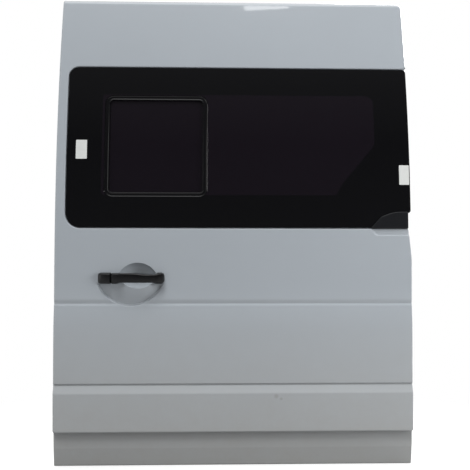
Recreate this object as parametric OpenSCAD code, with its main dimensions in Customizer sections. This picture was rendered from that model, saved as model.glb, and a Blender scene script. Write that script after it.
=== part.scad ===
// Sliding side door of a high panel van, left side: outside faces -Y, front edge at -X.
// Modelled from its front edge, outermost face and lowest edge, then moved so that the
// bolting face of the centre hinge pad is the origin.

/* [Door outline] */
// Width from the front edge to the rear edge
door_w = 1095; // [1060:5:1160]
// Height from the lowest edge to the top edge
door_h = 1463; // [1440:1:1500]
// Radius of the front and rear lower corners
low_corner_r = 9; // [4:1:14]
// Radius of the rear upper corner
rear_top_r = 15; // [8:1:24]
// Radius of the front upper corner
front_top_r = 6; // [4:1:14]

/* [Side profile] */
// Height at which the side starts to lean in
waist_z = 591; // [570:1:620]
// Radius of the lean of the side above the waist
bend_r = 2800; // [2400:50:3400]
// Height of the shoulder crease
shoulder_z = 498; // [485:1:515]
// Step out from the panel above the shoulder crease to the panel below it
shoulder_step = 7; // [4:1:12]
// Depth by which the panel tucks in at the shoulder crease
shoulder_tuck = 3; // [2:0.5:4]
// Height over which it tucks in and comes out again
shoulder_drop = 10; // [8:1:14]
// How far the panel below the crease still leans out at its upper end
shoulder_lean = 7; // [4:1:10]
// Height over which that lean fades
shoulder_fade = 65; // [55:1:75]
// Radius of the long roll that fades it
shoulder_r = 500; // [300:10:600]
// Height of the crease above the lower ledge
ledge_z = 248; // [235:1:260]
// Height of the sloping ledge
ledge_drop = 25; // [18:1:32]
// Step out over the ledge
ledge_step = 7; // [5:1:12]
// Depth by which the panel tucks in above the ledge
ledge_tuck = 4; // [2:0.5:5]
// Height of the lower edge of the bulge
bulge_z = 104; // [96:1:115]
// Radius of the lower edge of the bulge
bulge_r = 7; // [4:1:9]
// Radius of the roll at the top edge
top_r = 22; // [14:1:28]
// Width of the flange behind the top edge
top_flange = 34; // [28:1:45]

/* [Sheet metal] */
// Thickness of the pressed sheets
sheet_t = 1.5; // [1.2:0.1:2]
// Depth from the outer surface to the inner face
inner_d = 60; // [56:1:70]
// Distance from the door edge to the side walls of the inner panel
wall_inset = 20; // [16:1:24]
// Depth of the turned edge of the skin
edge_d = 12; // [9:1:14]
// Height at which the lower inner panel meets the window frame
joint_z = 660; // [640:1:680]
// Height of the floor of the inner panel
floor_z = 112; // [108:1:125]
// Side of the access holes in the inner panel
access_side = 130; // [100:5:140]
// Number of access holes
access_count = 3; // [2:1:4]

/* [Sill strip] */
// Setback of the strip from the bulge
strip_setback = 18; // [14:1:22]
// Lean of the strip towards its lower edge
strip_lean = 13; // [8:1:16]
// Height of the fold half way up the strip
strip_fold_z = 55; // [45:1:65]
// Width of the turned lower edge
strip_flange = 16; // [12:1:22]

/* [Window] */
// Distance from the front edge to the glass
glass_x = 34; // [30:1:40]
// Distance from the rear edge to the glass
glass_rear = 2.5; // [2:0.5:5]
// Height of the lower edge of the glass
glass_z = 726; // [718:1:736]
// Height of the glass
glass_h = 504; // [490:1:515]
// Thickness of the glass
glass_t = 4; // [3:0.5:5]
// Thickness of the glue bead under the glass
bond_t = 4; // [3:0.5:5]
// Width of the glue bead
bond_w = 12; // [8:1:16]
// Gap between the glass and the pressed recess
glass_gap = 2.5; // [2:0.5:4]
// Radius of the lower front corner of the glass
glass_low_r = 45; // [30:1:55]
// Radius of the upper front corner of the glass
glass_top_r = 30; // [20:1:40]
// Width of the flange round the opening
flange_w = 32; // [26:1:36]
// Width of the pillar at the rear of the opening
pillar_w = 105; // [100:1:130]
// Width of the slanting rear lower corner of the opening
slant_w = 110; // [80:1:130]
// Height of the slanting rear lower corner
slant_h = 230; // [180:1:260]
// Radius of the corners of the opening
opening_r = 30; // [20:1:40]

/* [Sliding pane] */
// Distance from the front edge to the pane opening
pane_x = 148; // [140:1:170]
// Height of the lower edge of the pane opening
pane_z = 819; // [810:1:830]
// Width of the pane opening
pane_w = 317; // [290:1:330]
// Height of the pane opening
pane_h = 320; // [300:1:330]
// Corner radius of the pane opening
pane_r = 26; // [20:1:34]
// Width of the frame round the pane
frame_w = 15; // [12:1:18]
// Lap of the pane behind its frame
pane_lap = 9; // [7:1:10]
// Length of the guide rails
rail_len = 650; // [600:5:700]
// Width of the foot of a guide rail
rail_foot = 12; // [9:1:14]
// Thickness of the lip of a guide rail
rail_lip = 3.5; // [2.5:0.5:5]

/* [Rail end cap] */
// Width of the cap at the rear edge of the waist
cap_w = 120; // [110:1:130]
// Height of the cap
cap_h = 53; // [48:1:58]
// Radius of the curved top of the cap
cap_top_r = 120; // [100:5:150]
// Height of the shallow pocket below the cap
pocket_h = 21; // [16:1:26]
// Depth of that pocket
pocket_d = 5; // [4:0.5:6]
// Depth of the notch in the rear edge beside the cap
notch_w = 9; // [6:0.5:12]
// Height over which the notch runs out below the cap
notch_l = 90; // [60:5:110]

/* [Handle] */
// Distance from the front edge to the handle
handle_x = 134; // [125:1:145]
// Height of the middle of the handle
handle_z = 571; // [566:1:578]
// Height of the grip
handle_h = 33; // [28:1:36]
// Width of the fixed end cap
end_w = 38; // [34:1:42]
// Length of the grip
grip_len = 157; // [150:1:165]
// Reach of the grip out of the panel
grip_out = 34; // [30:1:38]
// Thickness of the grip
grip_t = 14; // [11:1:16]
// Narrowing of the grip between its feet
grip_waist = 4; // [2:0.5:6]
// Length of the front foot of the grip
front_foot = 16; // [14:1:18]
// Length of the rear foot of the grip
rear_foot = 21; // [20:1:24]
// Radius of the hinge pin
pin_r = 3; // [2.5:0.1:3.5]
// Depth of the hinge pin behind the outer surface
pin_d = 12; // [11:0.5:14]
// Depth to which the claw of the grip reaches
claw_d = 32; // [28:1:36]

/* [Handle bowl] */
// Distance from the front end of the handle to the middle of the pan
pan_shift = 96; // [90:1:102]
// Height of the middle of the pan above the middle of the grip
pan_rise = 22; // [18:1:24]
// Radius of the wide pan below the grip
pan_r = 107; // [102:1:110]
// Depth of the pan at its upper edge
pan_d = 8; // [6:0.5:10]
// Angle by which the floor of the pan leans in towards its lower edge
pan_lean = 5; // [2:1:7]
// Distance from the front end of the handle to the middle of the finger bowl
finger_shift = 119; // [114:1:124]
// Height of the middle of the finger bowl above the middle of the grip
finger_rise = 7; // [4:1:10]
// Width of the finger bowl behind the grip
finger_w = 116; // [108:1:120]
// Height of the finger bowl
finger_h = 80; // [76:1:84]
// Depth of the finger bowl
finger_d = 35; // [30:1:37]

/* [Centre hinge pad] */
// Width of the pad
pad_w = 90; // [80:1:100]
// Height of the pad
pad_h = 70; // [60:1:80]
// Thickness of the pad at its middle
pad_t = 10; // [8:1:14]
// Spacing of its bolts along the door
bolt_dx = 60; // [50:1:70]
// Spacing of its bolts up the door
bolt_dz = 40; // [34:1:50]
// Radius of the bolt holes
bolt_r = 4.3; // [3.3:0.1:5.3]
// Distance from the rear edge to the middle of the pad
pad_inset = 90; // [85:1:100]
// Height of the middle of the pad
pad_z = 722; // [715:1:735]

/* [Seal and trim] */
// Distance from the door edge to the seal
seal_inset = 23; // [21:1:27]
// Width of the seal
seal_w = 13; // [10:1:15]
// Height of the seal over the panel
seal_t = 11; // [8:1:14]
// Height of the lowest run of the seal
seal_z = 205; // [198:1:215]
// Corner radius of the seal
seal_r = 45; // [30:1:60]
// Thickness of the trim panel
trim_t = 3; // [2:0.5:4]
// Distance from the front edge to the trim panel
trim_x = 62; // [58:1:70]
// Width of the trim panel
trim_w = 850; // [820:5:870]
// Height of the lower edge of the trim panel
trim_z = 240; // [235:1:250]
// Height of the trim panel
trim_h = 395; // [380:5:405]
// Distance from the front of the trim board to the release cup
cup_inset = 70; // [55:5:120]
// Distance from the lower edge of the grip down to the release cup
cup_below = 46; // [40:1:60]
// Length of the release cup
cup_w = 110; // [95:1:120]
// Height of the release cup
cup_h = 62; // [55:1:70]
// Depth of the release cup
cup_d = 22; // [18:1:26]

/* [Latches] */
// Length of a latch housing into the door
latch_l = 56; // [48:1:60]
// Height of a latch housing
latch_h = 96; // [80:1:110]
// Depth of a latch housing
latch_d = 40; // [36:1:42]
// Width of the mouth that takes the striker
mouth_w = 15; // [12:1:18]
// Radius of the claw
claw_r = 20; // [17:1:22]
// Thickness of the claw
claw_t = 6; // [4:0.5:8]
// Height of the front latch
front_latch_z = 470; // [440:5:500]
// Height of the rear latch
rear_latch_z = 520; // [480:5:540]

/* [Roller arms] */
// Reach of the lower arm into the van
lower_reach = 130; // [110:1:150]
// Thickness of the arms
arm_t = 6; // [5:0.5:8]
// Width of the arms
arm_w = 34; // [28:1:40]
// Height of the lower arm
lower_arm_z = 158; // [150:1:165]
// Radius of the support roller
support_r = 16; // [13:1:19]
// Radius of the guide rollers
guide_r = 13; // [11:1:15]
// Width of the rollers
roller_w = 11; // [9:1:13]
// Reach of the upper arm
upper_reach = 70; // [60:1:90]
// Distance from the top edge down to the upper arm
upper_arm_drop = 67; // [62:1:84]
// Height of the mounting plates of the arms
arm_plate_h = 76; // [66:1:84]
// Width of the mounting plate of the lower arm
arm_plate_w = 110; // [96:1:120]
// Distance from the front edge to the arms
arm_inset = 70; // [64:1:80]

/* [Buffers and guide pins] */
// Height of the lower buffer and the lower guide pin
low_stop_z = 300; // [280:5:320]
// Height of the upper buffer
buffer_z = 620; // [600:5:630]
// Height of the upper guide pin
pin_z = 600; // [590:5:620]
// Radius of a buffer and of the flange of a guide pin
stop_r = 11.5; // [10:0.5:14]
// Height of a buffer over its wall
buffer_h = 12; // [9:0.5:13]
// Reach of a guide pin over its wall
pin_reach = 15; // [10:0.5:16]

/* [Hidden] */

$fn = 48;

// Clearances between pieces at rest and beside pieces that move
seat_gap = 0.3;
move_gap = 5;
pin_gap = 0.3;

// The outer surface at and below the waist, and the centre of its bend above
panel_y = shoulder_step + ledge_step;
bend_cy = panel_y + bend_r;
inner_y = panel_y + inner_d;

// Points on each rounded corner and on the long bend
corner_n = 6;
bend_n = 24;

// Far enough to pass through the whole door
far = 420;

// Bolting face of the centre hinge
pad_x = door_w - pad_inset;
pad_y = bend_y(pad_z, inner_d) + pad_t;

// Depth of the buffers and guide pins on their walls, and height of the upper arm
stop_y = panel_y + inner_d * 0.6;
upper_arm_z = door_h - upper_arm_drop;

paint = "#9BA1A6";
black = "#1B1B1E";
steel = "#8E9398";
rubber = "#202022";
glass_tint = "#15121A";

// Depth of the outer surface at a height, and of a surface that lies deeper by d
function bend_y(z, d = 0) = bend_cy - sqrt(pow(bend_r - d, 2) - pow(max(z - waist_z, 0), 2));

function unit(v) = v / norm(v);

// Points of the arc of radius r that rounds corner b between a and c
function corner_arc(a, b, c, r) =
    let (u = unit(a - b), v = unit(c - b))
    let (half = acos(u * v) / 2)
    let (centre = b + unit(u + v) * r / sin(half))
    let (p = b + u * r / tan(half) - centre, q = b + v * r / tan(half) - centre)
    let (from = atan2(p[1], p[0]))
    let (turn = (atan2(q[1], q[0]) - from + 540) % 360 - 180)
    [for (i = [0:corner_n]) centre + r * [cos(from + turn * i / corner_n), sin(from + turn * i / corner_n)]];

// Corners [a, b, radius] joined by straight lines, each rounded by its radius
function corner_at(c) = [c[0], c[1]];
function rounded(a, b, c) = b[2] > 0 ? corner_arc(corner_at(a), corner_at(b), corner_at(c), b[2]) : [corner_at(b)];
function path(c) = [for (i = [0:len(c) - 1])
    each i == 0 || i == len(c) - 1 ? [corner_at(c[i])] : rounded(c[i - 1], c[i], c[i + 1])];
function loop(c) = let (n = len(c)) [for (i = [0:n - 1])
    each rounded(c[(i + n - 1) % n], c[i], c[(i + 1) % n])];

// The same line moved sideways by t, towards the inside of the door
function side(v) = [-v[1], v[0]];
function moved(p, t) = [for (i = [0:len(p) - 1])
    let (before = side(unit(i > 0 ? p[i] - p[i - 1] : p[1] - p[0])))
    let (after = side(unit(i < len(p) - 1 ? p[i + 1] - p[i] : p[i] - p[i - 1])))
    let (n = unit(before + after))
    p[i] + n * t / (n * before)];
function reversed(p) = [for (i = [len(p) - 1:-1:0]) p[i]];

// A rectangle with its own radius at each corner: low front, low rear, top rear, top front
function frame_loop(x0, z0, x1, z1, r) = loop([[x0, z0, r[0]], [x1, z0, r[1]], [x1, z1, r[2]], [x0, z1, r[3]]]);

// Outer line of the skin from its top flange down to the edge under the bulge
top_lean_z = door_h - 1.4 * top_r;
top_slope = (top_lean_z - waist_z) / (bend_cy - bend_y(top_lean_z));
top_y = bend_y(top_lean_z) + top_slope * (door_h - top_lean_z);
top_corner = corner_arc([top_y + top_flange, door_h], [top_y, door_h],
    [bend_y(top_lean_z), top_lean_z], top_r);
crease_z = shoulder_z - shoulder_drop * 0.4;
low_line = path([[panel_y, waist_z - 1, 0], [panel_y, crease_z + shoulder_drop * 1.2, 30],
    [panel_y + shoulder_tuck, crease_z, 3], [ledge_step + shoulder_lean, shoulder_z - shoulder_drop, 8],
    [ledge_step, shoulder_z - shoulder_fade, shoulder_r], [ledge_step, ledge_z + ledge_tuck * 1.1, 2],
    [ledge_step + ledge_tuck, ledge_z, 2], [0, ledge_z - ledge_drop, 10], [0, bulge_z, bulge_r],
    [strip_setback, bulge_z, 0]]);
skin_line = concat([[top_y + top_flange, door_h]], top_corner,
    [for (i = [0:bend_n]) let (z = top_lean_z + (waist_z - top_lean_z) * i / bend_n) [bend_y(z), z]],
    low_line);

// Line of the strip below the bulge, from its top flange to its lower flange
strip_line = path([[strip_setback + strip_flange, floor_z, 0], [strip_setback, floor_z, 4],
    [strip_setback, bulge_z - 12, 30], [strip_setback + 3, strip_fold_z, 30],
    [strip_setback + strip_lean, 0, 4], [strip_setback + strip_lean + strip_flange, 0, 0]]);

// Outlines seen from outside, as [x, z]
glass_x1 = door_w - glass_rear;
glass_z1 = glass_z + glass_h;
cap_x1 = door_w - notch_w - 1;
cap_x = cap_x1 - cap_w;
cap_z = glass_z - glass_gap;
cap_z1 = cap_z + cap_h;
recess_d = glass_t + bond_t;
recess_loop = frame_loop(glass_x - glass_gap, cap_z, door_w + 40, glass_z1 + glass_gap,
    [glass_low_r + glass_gap, 0, 0, glass_top_r + glass_gap]);
cap_loop = loop([[cap_x, cap_z, 3], [cap_x1, cap_z, 4], [cap_x1, cap_z1, 4],
    [cap_x1 - cap_w * 0.38, cap_z1 - 1, cap_top_r], [cap_x + cap_w * 0.3, cap_z1 - 16, 30],
    [cap_x + 10, cap_z + 9, 20]]);
pocket_loop = loop([[cap_x + 2, cap_z, 0], [cap_x + 22, cap_z - pocket_h, 20],
    [door_w + 40, cap_z - pocket_h, 0], [door_w + 40, cap_z, 0]]);
opening_x = glass_x + flange_w;
opening_z = glass_z + flange_w;
opening_x1 = door_w - pillar_w;
opening_z1 = glass_z1 - flange_w;
opening_loop = opening_by(0);
pane_x1 = pane_x + pane_w;
pane_z1 = pane_z + pane_h;

// The window opening, grown by g on all sides
function opening_by(g) = loop([[opening_x - g, opening_z - g, opening_r + g],
    [opening_x1 - slant_w + g / 2, opening_z - g, opening_r + g],
    [opening_x1 + g, opening_z + slant_h - g / 2, opening_r + g],
    [opening_x1 + g, opening_z1 + g, opening_r + g], [opening_x - g, opening_z1 + g, opening_r + g]]);

// The pane opening, shrunk by s on all sides
function pane_by(s) = frame_loop(pane_x + s, pane_z + s, pane_x1 - s, pane_z1 - s,
    [for (i = [0:3]) pane_r - s]);

// Handle places
grip_x = handle_x + end_w + move_gap;
grip_x1 = grip_x + grip_len;
pivot_x = grip_x1 - rear_foot * 0.62;
pivot_y = panel_y + pin_d;
claw_x = grip_x + front_foot * 0.32;
claw_w = 7;
claw_h = 14;
arm_half = 4;
arm_h = 16;
ear_t = 3;
arm_gap = 3;
slot_reach = 8;
bracket_y = panel_y + finger_d + 10;
bracket_h = 44;
bracket_lap = 14;
post_w = 14;
ear_w = 16;
ear_setback = 2.5;
pan_x = handle_x + pan_shift;
pan_z = handle_z + pan_rise;
pan_top_z = handle_z - handle_h / 2;
pan_slope = 0.35;
finger_x = handle_x + finger_shift;
finger_z = handle_z + finger_rise;

// The finger bowl is a spindle that lies along X: its axis lies finger_out in front of
// the panel, it is finger_mid thick at its middle and an arc of finger_arc bounds it
finger_out = (pow(finger_h / 2, 2) - finger_d * finger_d) / (2 * finger_d);
finger_mid = finger_out + finger_d;
finger_arc = (pow(finger_w / 2, 2) + finger_d * finger_d) / (2 * finger_d);

// Outline extruded along X from x0 to x1, drawn as [y, z]
module along(x0, x1) {
    translate([x0, 0, 0])
        rotate([90, 0, 90])
            linear_extrude(height = x1 - x0)
                children();
}

// Outline extruded along Y from y0 to y1, drawn as [x, z]
module across(y0 = -60, y1 = far) {
    translate([0, y1, 0])
        rotate([90, 0, 0])
            linear_extrude(height = y1 - y0)
                children();
}

// All that lies deeper than d under the outer surface, between two heights
module deeper(d, z0, z1) {
    intersection() {
        translate([-60, z0])
            square([60 + far, z1 - z0]);
        union() {
            translate([bend_cy, waist_z])
                circle(r = bend_r - d, $fn = 900);
            translate([panel_y + d, -10])
                square([far, waist_z + 10]);
        }
    }
}

// The same space behind flats that follow the bend, for machined backs
module behind_bend(d, z0, z1, n = 8) {
    polygon(concat([for (i = [0:n]) let (z = z0 + (z1 - z0) * i / n) [bend_y(z, d), z]],
        [[far, z1], [far, z0]]));
}

// Layer between depths d0 and d1, between two heights
module layer(d0, d1, z0 = 0, z1 = door_h + 5) {
    difference() {
        deeper(d0, z0, z1);
        deeper(d1, z0 - 1, z1 + 1);
    }
}

// Piece of that layer inside an outline drawn as [x, z]
module slab(d0, d1) {
    intersection() {
        along(-20, door_w + 20)
            layer(d0, d1);
        across()
            children();
    }
}

// A sheet between a line and the same line moved by t
module sheet(line, t = sheet_t) {
    polygon(concat(line, reversed(moved(line, t))));
}

// All that lies inside the skin, from its inner face, between two heights
module inside_skin(z0, z1, y1 = inner_y) {
    inner = moved(skin_line, sheet_t);
    intersection() {
        polygon(concat(inner, [[far, bulge_z + sheet_t], [far, door_h - sheet_t]]));
        translate([-60, z0])
            square([far, z1 - z0]);
    }
}

// Outline of the skin, shrunk by s, with the notch beside the rail end cap
module door_loop(s = 0) {
    x1 = door_w - s;
    polygon(loop([[s, bulge_z + s, max(low_corner_r - s, 2)], [x1, bulge_z + s, max(low_corner_r - s, 2)],
        [x1, cap_z - notch_l, 200], [x1 - notch_w, cap_z, 60], [x1 - notch_w, cap_z1 + 2, 3],
        [x1, cap_z1 + 8, 3], [x1, door_h - s, max(rear_top_r - s, 2)],
        [s, door_h - s, max(front_top_r - s, 2)]]));
}

// Holes through the panel for the claw and the arm of the grip
module handle_slots() {
    translate([claw_x - move_gap, panel_y - slot_reach, handle_z - claw_h / 2 - move_gap])
        cube([claw_w + 2 * move_gap, finger_d + 4 * slot_reach, claw_h + 2 * move_gap]);
    translate([pivot_x - arm_half - arm_gap, panel_y - slot_reach, handle_z - arm_h / 2 - arm_gap])
        cube([2 * arm_half + arm_gap + move_gap, 4 * slot_reach, arm_h + 2 * arm_gap]);
}

// Space of the bowl behind the handle, grown by g
module bowl_space(g = 0) {
    intersection() {
        translate([pan_x, panel_y - 40, pan_z])
            rotate([-90, 0, 0])
                cylinder(r1 = pan_r + g + 40 * pan_slope, r2 = pan_r + g - 30 * pan_slope, h = 70, $fn = 128);
        translate([pan_x, panel_y + pan_d + g, pan_top_z + g])
            rotate([pan_lean, 0, 0])
                translate([-200, -100, -200])
                    cube([400, 100, 210]);
        translate([pan_x - 200, 0, pan_top_z + g - 200])
            cube([400, 200, 200]);
    }
    translate([finger_x, panel_y - finger_out, finger_z])
        rotate([0, 90, 0])
            rotate_extrude($fn = 96)
                intersection() {
                    translate([finger_mid - finger_arc, 0])
                        circle(r = finger_arc + g, $fn = 96);
                    translate([0, -finger_w])
                        square([finger_w, 2 * finger_w]);
                }
}

// Bolt holes of the centre hinge pad
module hinge_holes() {
    for (dx = [-bolt_dx / 2, bolt_dx / 2])
        for (dz = [-bolt_dz / 2, bolt_dz / 2])
            translate([pad_x + dx, pad_y + 1, pad_z + dz])
                rotate([90, 0, 0])
                    cylinder(r = bolt_r, h = pad_t + 12);
}

module outer_skin() {
    color(paint)
        difference() {
            union() {
                intersection() {
                    union() {
                        along(0, door_w)
                            sheet(skin_line);
                        turned_edge();
                    }
                    across()
                        door_loop();
                    // The glass recess is cut out of the outer sheet only
                    skin_keep();
                }
                difference() {
                    union() {
                        recess(recess_loop, recess_d);
                        recess(pocket_loop, pocket_d);
                    }
                    recess_spaces();
                }
            }
            across()
                polygon(opening_loop);
            bowl_space();
            handle_slots();
        }
}

// Turned edge all round the skin
module turned_edge() {
    difference() {
        along(0, door_w)
            difference() {
                polygon(concat(skin_line, [[far, bulge_z], [far, door_h]]));
                deeper(edge_d, 0, door_h + 5);
            }
        across()
            door_loop(sheet_t);
        translate([-10, strip_setback, 0])
            cube([door_w + 20, far, floor_z + seat_gap]);
    }
}

// Everything outside the pressed recesses
module skin_keep() {
    difference() {
        translate([-10, -10, 0])
            cube([door_w + 20, far, door_h + 10]);
        recess_spaces();
    }
}

// The hollows of the glass recess and of the pocket below the cap
module recess_spaces() {
    slab(-30, recess_d)
        polygon(recess_loop);
    slab(-30, pocket_d)
        polygon(pocket_loop);
}

// Floor and step of a recess pressed into the skin
module recess(outline, depth) {
    intersection() {
        across()
            door_loop();
        union() {
            slab(depth, depth + sheet_t)
                polygon(outline);
            difference() {
                slab(0.2, depth + sheet_t)
                    offset_loop(outline);
                across()
                    polygon(outline);
            }
        }
    }
}

module offset_loop(outline) {
    polygon(moved_loop(outline, -sheet_t));
}

// A closed line moved sideways by t, outwards where t is below zero
function moved_loop(p, t) = let (n = len(p)) [for (i = [0:n - 1])
    let (before = side(unit(p[i] - p[(i + n - 1) % n])))
    let (after = side(unit(p[(i + 1) % n] - p[i])))
    let (m = unit(before + after))
    p[i] + m * t / (m * before)];

module handle_bowl() {
    color(paint)
        difference() {
            intersection() {
                bowl_space(sheet_t);
                along(handle_x - 60, grip_x1 + 60)
                    inside_skin(shoulder_z - 60, waist_z + 60);
            }
            bowl_space();
            handle_slots();
        }
}

module sill_strip() {
    color(paint)
        intersection() {
            along(0, door_w)
                sheet(strip_line);
            across()
                polygon(frame_loop(0, 0, door_w, floor_z, [low_corner_r, low_corner_r, 0, 0]));
        }
}

// Side wall of the inner structure, from the skin to the inner face
module wall_section(z0, z1) {
    difference() {
        inside_skin(z0, z1);
        deeper(inner_d, z0 - 1, z1 + 1);
    }
}

module inner_panel() {
    access_step = trim_w / (access_count + 1);
    color(paint)
        difference() {
            union() {
                along(wall_inset, door_w - wall_inset)
                    layer(inner_d - sheet_t, inner_d, floor_z, joint_z);
                for (x = [wall_inset, door_w - wall_inset - sheet_t])
                    along(x, x + sheet_t)
                        wall_section(floor_z, joint_z);
                translate([wall_inset, strip_setback, floor_z])
                    cube([door_w - 2 * wall_inset, inner_y - strip_setback, sheet_t]);
            }
            for (i = [1:access_count])
                across(panel_y + 20)
                    translate([trim_x + i * access_step + 60, trim_z + trim_h / 2])
                        square(access_side, center = true);
            cup_cut();
            latch_cuts();
        }
}

module window_frame() {
    color(paint)
        difference() {
            union() {
                slab(inner_d - sheet_t, inner_d)
                    frame_face();
                for (x = [wall_inset, door_w - wall_inset - sheet_t])
                    along(x, x + sheet_t)
                        layer(recess_d + sheet_t, inner_d, joint_z, door_h - wall_inset);
                slab(recess_d + sheet_t, inner_d)
                    translate([wall_inset, door_h - wall_inset - sheet_t])
                        square([door_w - 2 * wall_inset, sheet_t]);
                slab(recess_d + sheet_t, inner_d)
                    difference() {
                        polygon(opening_by(sheet_t));
                        polygon(opening_loop);
                    }
            }
            across()
                polygon(opening_loop);
            hinge_holes();
        }
}

module frame_face() {
    translate([wall_inset, joint_z])
        square([door_w - 2 * wall_inset, door_h - wall_inset - joint_z]);
}

// Outline of the glass with the notch for the rail end cap
module glass_loop() {
    difference() {
        polygon(frame_loop(glass_x, glass_z, glass_x1, glass_z1, [glass_low_r, 4, 12, glass_top_r]));
        polygon(moved_loop(cap_loop, -seat_gap));
        translate([cap_x + cap_w / 2, cap_z - 10])
            square([cap_w, cap_h + 10 - 4]);
    }
}

module window_glass() {
    color(glass_tint)
        slab(0, glass_t)
            difference() {
                glass_loop();
                polygon(pane_by(0));
            }
}

module glass_bond() {
    color(rubber)
        slab(glass_t, recess_d)
            difference() {
                polygon(opening_by(bond_w + 4));
                polygon(opening_by(4));
            }
}

module pane_frame() {
    color(black)
        slab(1, recess_d + 1.5)
            difference() {
                polygon(pane_by(0));
                polygon(pane_by(frame_w));
            }
}

// Depths of the sliding pane behind its frame
pane_d = recess_d + 1.5 + seat_gap;
rail_d = pane_d + glass_t + seat_gap;

module sliding_pane() {
    color(glass_tint)
        slab(pane_d, pane_d + glass_t)
            polygon(pane_by(frame_w - pane_lap));
}

// Guide rail with its foot on the fixed glass and its lip behind the pane.
// edge is the edge of the opening that it lies on and way points to the middle of the pane.
module pane_rail(edge, way) {
    rise = frame_w - pane_lap - seat_gap;
    x1 = pane_x + rail_len;
    slab(glass_t, rail_d + rail_lip)
        rail_strip(edge, edge - way * rail_foot, x1);
    slab(pane_d, rail_d + rail_lip)
        rail_strip(edge, edge + way * rise, x1);
    slab(rail_d, rail_d + rail_lip)
        rail_strip(edge + way * rise, edge + way * (frame_w + 2), x1);
}

module rail_strip(z0, z1, x1) {
    translate([pane_x - 2, min(z0, z1)])
        square([x1 - pane_x + 2, abs(z1 - z0)]);
}

module pane_top_rail() {
    color(black)
        pane_rail(pane_z1, -1);
}

module pane_bottom_rail() {
    color(black)
        pane_rail(pane_z, 1);
}

module pane_latch() {
    latch_x = pane_x + frame_w + 12;
    mid = pane_z + pane_h / 2;
    base_w = 26;
    base_d = pane_d + glass_t + 5;
    pull_h = 40;
    color(black) {
        slab(pane_d + glass_t, base_d)
            polygon(frame_loop(latch_x, mid - base_w, latch_x + base_w, mid + base_w, [5, 5, 5, 5]));
        slab(base_d, base_d + 11)
            polygon(frame_loop(latch_x + 16, mid - pull_h / 2, latch_x + 24, mid + pull_h / 2, [3, 3, 3, 3]));
    }
}

module rail_end_cap() {
    color(black)
        slab(-3, recess_d)
            polygon(cap_loop);
}

// Plan of the grip as [x, y] from its front end, with y from the panel
function grip_plan() = loop([[0, -move_gap, 2], [front_foot, -move_gap, 2],
    [front_foot + 8, grip_t - grip_out, 12], [grip_len - rear_foot - 8, grip_t - grip_out, 12],
    [grip_len - rear_foot, -move_gap, 2], [grip_len, -move_gap, 2],
    [grip_len, -grip_out * 0.55, 10], [grip_len * 0.72, -grip_out, 90],
    [grip_len * 0.25, -grip_out, 90], [0, -grip_out * 0.76, 4]]);

// Front of the grip as [x, z]: full height at its ends and waisted between them
function grip_front() =
    let (z0 = handle_z - handle_h / 2, z1 = handle_z + handle_h / 2)
    loop([[grip_x, z0, 2], [grip_x + front_foot, z0, 20], [grip_x + front_foot + 14, z0 + grip_waist, 20],
        [grip_x1 - rear_foot - 14, z0 + grip_waist, 20], [grip_x1 - rear_foot, z0, 12], [grip_x1, z0, 9],
        [grip_x1, z1, 9], [grip_x1 - rear_foot, z1, 20], [grip_x1 - rear_foot - 30, z1 - grip_waist, 60],
        [grip_x + front_foot + 50, z1, 200], [grip_x, z1, 2]]);

module handle_grip() {
    color(black)
        difference() {
            union() {
                intersection() {
                    translate([grip_x, panel_y, handle_z - handle_h / 2])
                        linear_extrude(height = handle_h)
                            polygon(grip_plan());
                    across()
                        polygon(grip_front());
                    along(grip_x - 1, grip_x1 + 1)
                        polygon(frame_loop(panel_y - grip_out - 1, handle_z - handle_h / 2,
                            panel_y, handle_z + handle_h / 2, [9, 1, 1, 9]));
                }
                translate([claw_x, panel_y - move_gap - 4, handle_z - claw_h / 2])
                    cube([claw_w, claw_d + move_gap + 4, claw_h]);
                translate([pivot_x - arm_half, panel_y - move_gap - 4, handle_z - arm_h / 2])
                    cube([2 * arm_half, pin_d + move_gap + 4, arm_h]);
                translate([pivot_x, pivot_y, handle_z - arm_h / 2])
                    cylinder(r = pin_r + 4, h = arm_h);
            }
            translate([pivot_x, pivot_y, handle_z - arm_h])
                cylinder(r = pin_r + pin_gap, h = 2 * arm_h);
        }
}

module handle_end_cap() {
    color(black)
        intersection() {
            translate([handle_x, panel_y, handle_z - handle_h / 2])
                linear_extrude(height = handle_h)
                    polygon(loop([[0, -1, 1], [end_w, -1, 1], [end_w, -grip_out * 0.76, 4],
                        [4, -grip_out * 0.5, 10]]));
            across()
                polygon(frame_loop(handle_x, handle_z - handle_h / 2, handle_x + end_w,
                    handle_z + handle_h / 2, [10, 2, 2, 10]));
            along(handle_x - 1, handle_x + end_w + 1)
                polygon(frame_loop(panel_y - grip_out, handle_z - handle_h / 2, panel_y,
                    handle_z + handle_h / 2, [9, 1, 1, 9]));
        }
}

// Thin pad between the end cap and the panel, and one round the slot of the arm
module handle_gaskets() {
    color(rubber)
        difference() {
            translate([0, panel_y - 1, 0])
                rotate([90, 0, 0])
                    mirror([0, 0, 1])
                        linear_extrude(height = 1) {
                            polygon(frame_loop(handle_x - 1, handle_z - handle_h / 2 + 0.5, handle_x + end_w + 1,
                                handle_z + handle_h / 2 + 1, [10, 2, 2, 10]));
                            polygon(frame_loop(pivot_x - arm_half - 5, handle_z - handle_h / 2 + 0.5,
                                grip_x1 + 1, handle_z + handle_h / 2 + 1, [2, 10, 10, 2]));
                        }
            handle_slots();
        }
}

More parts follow.
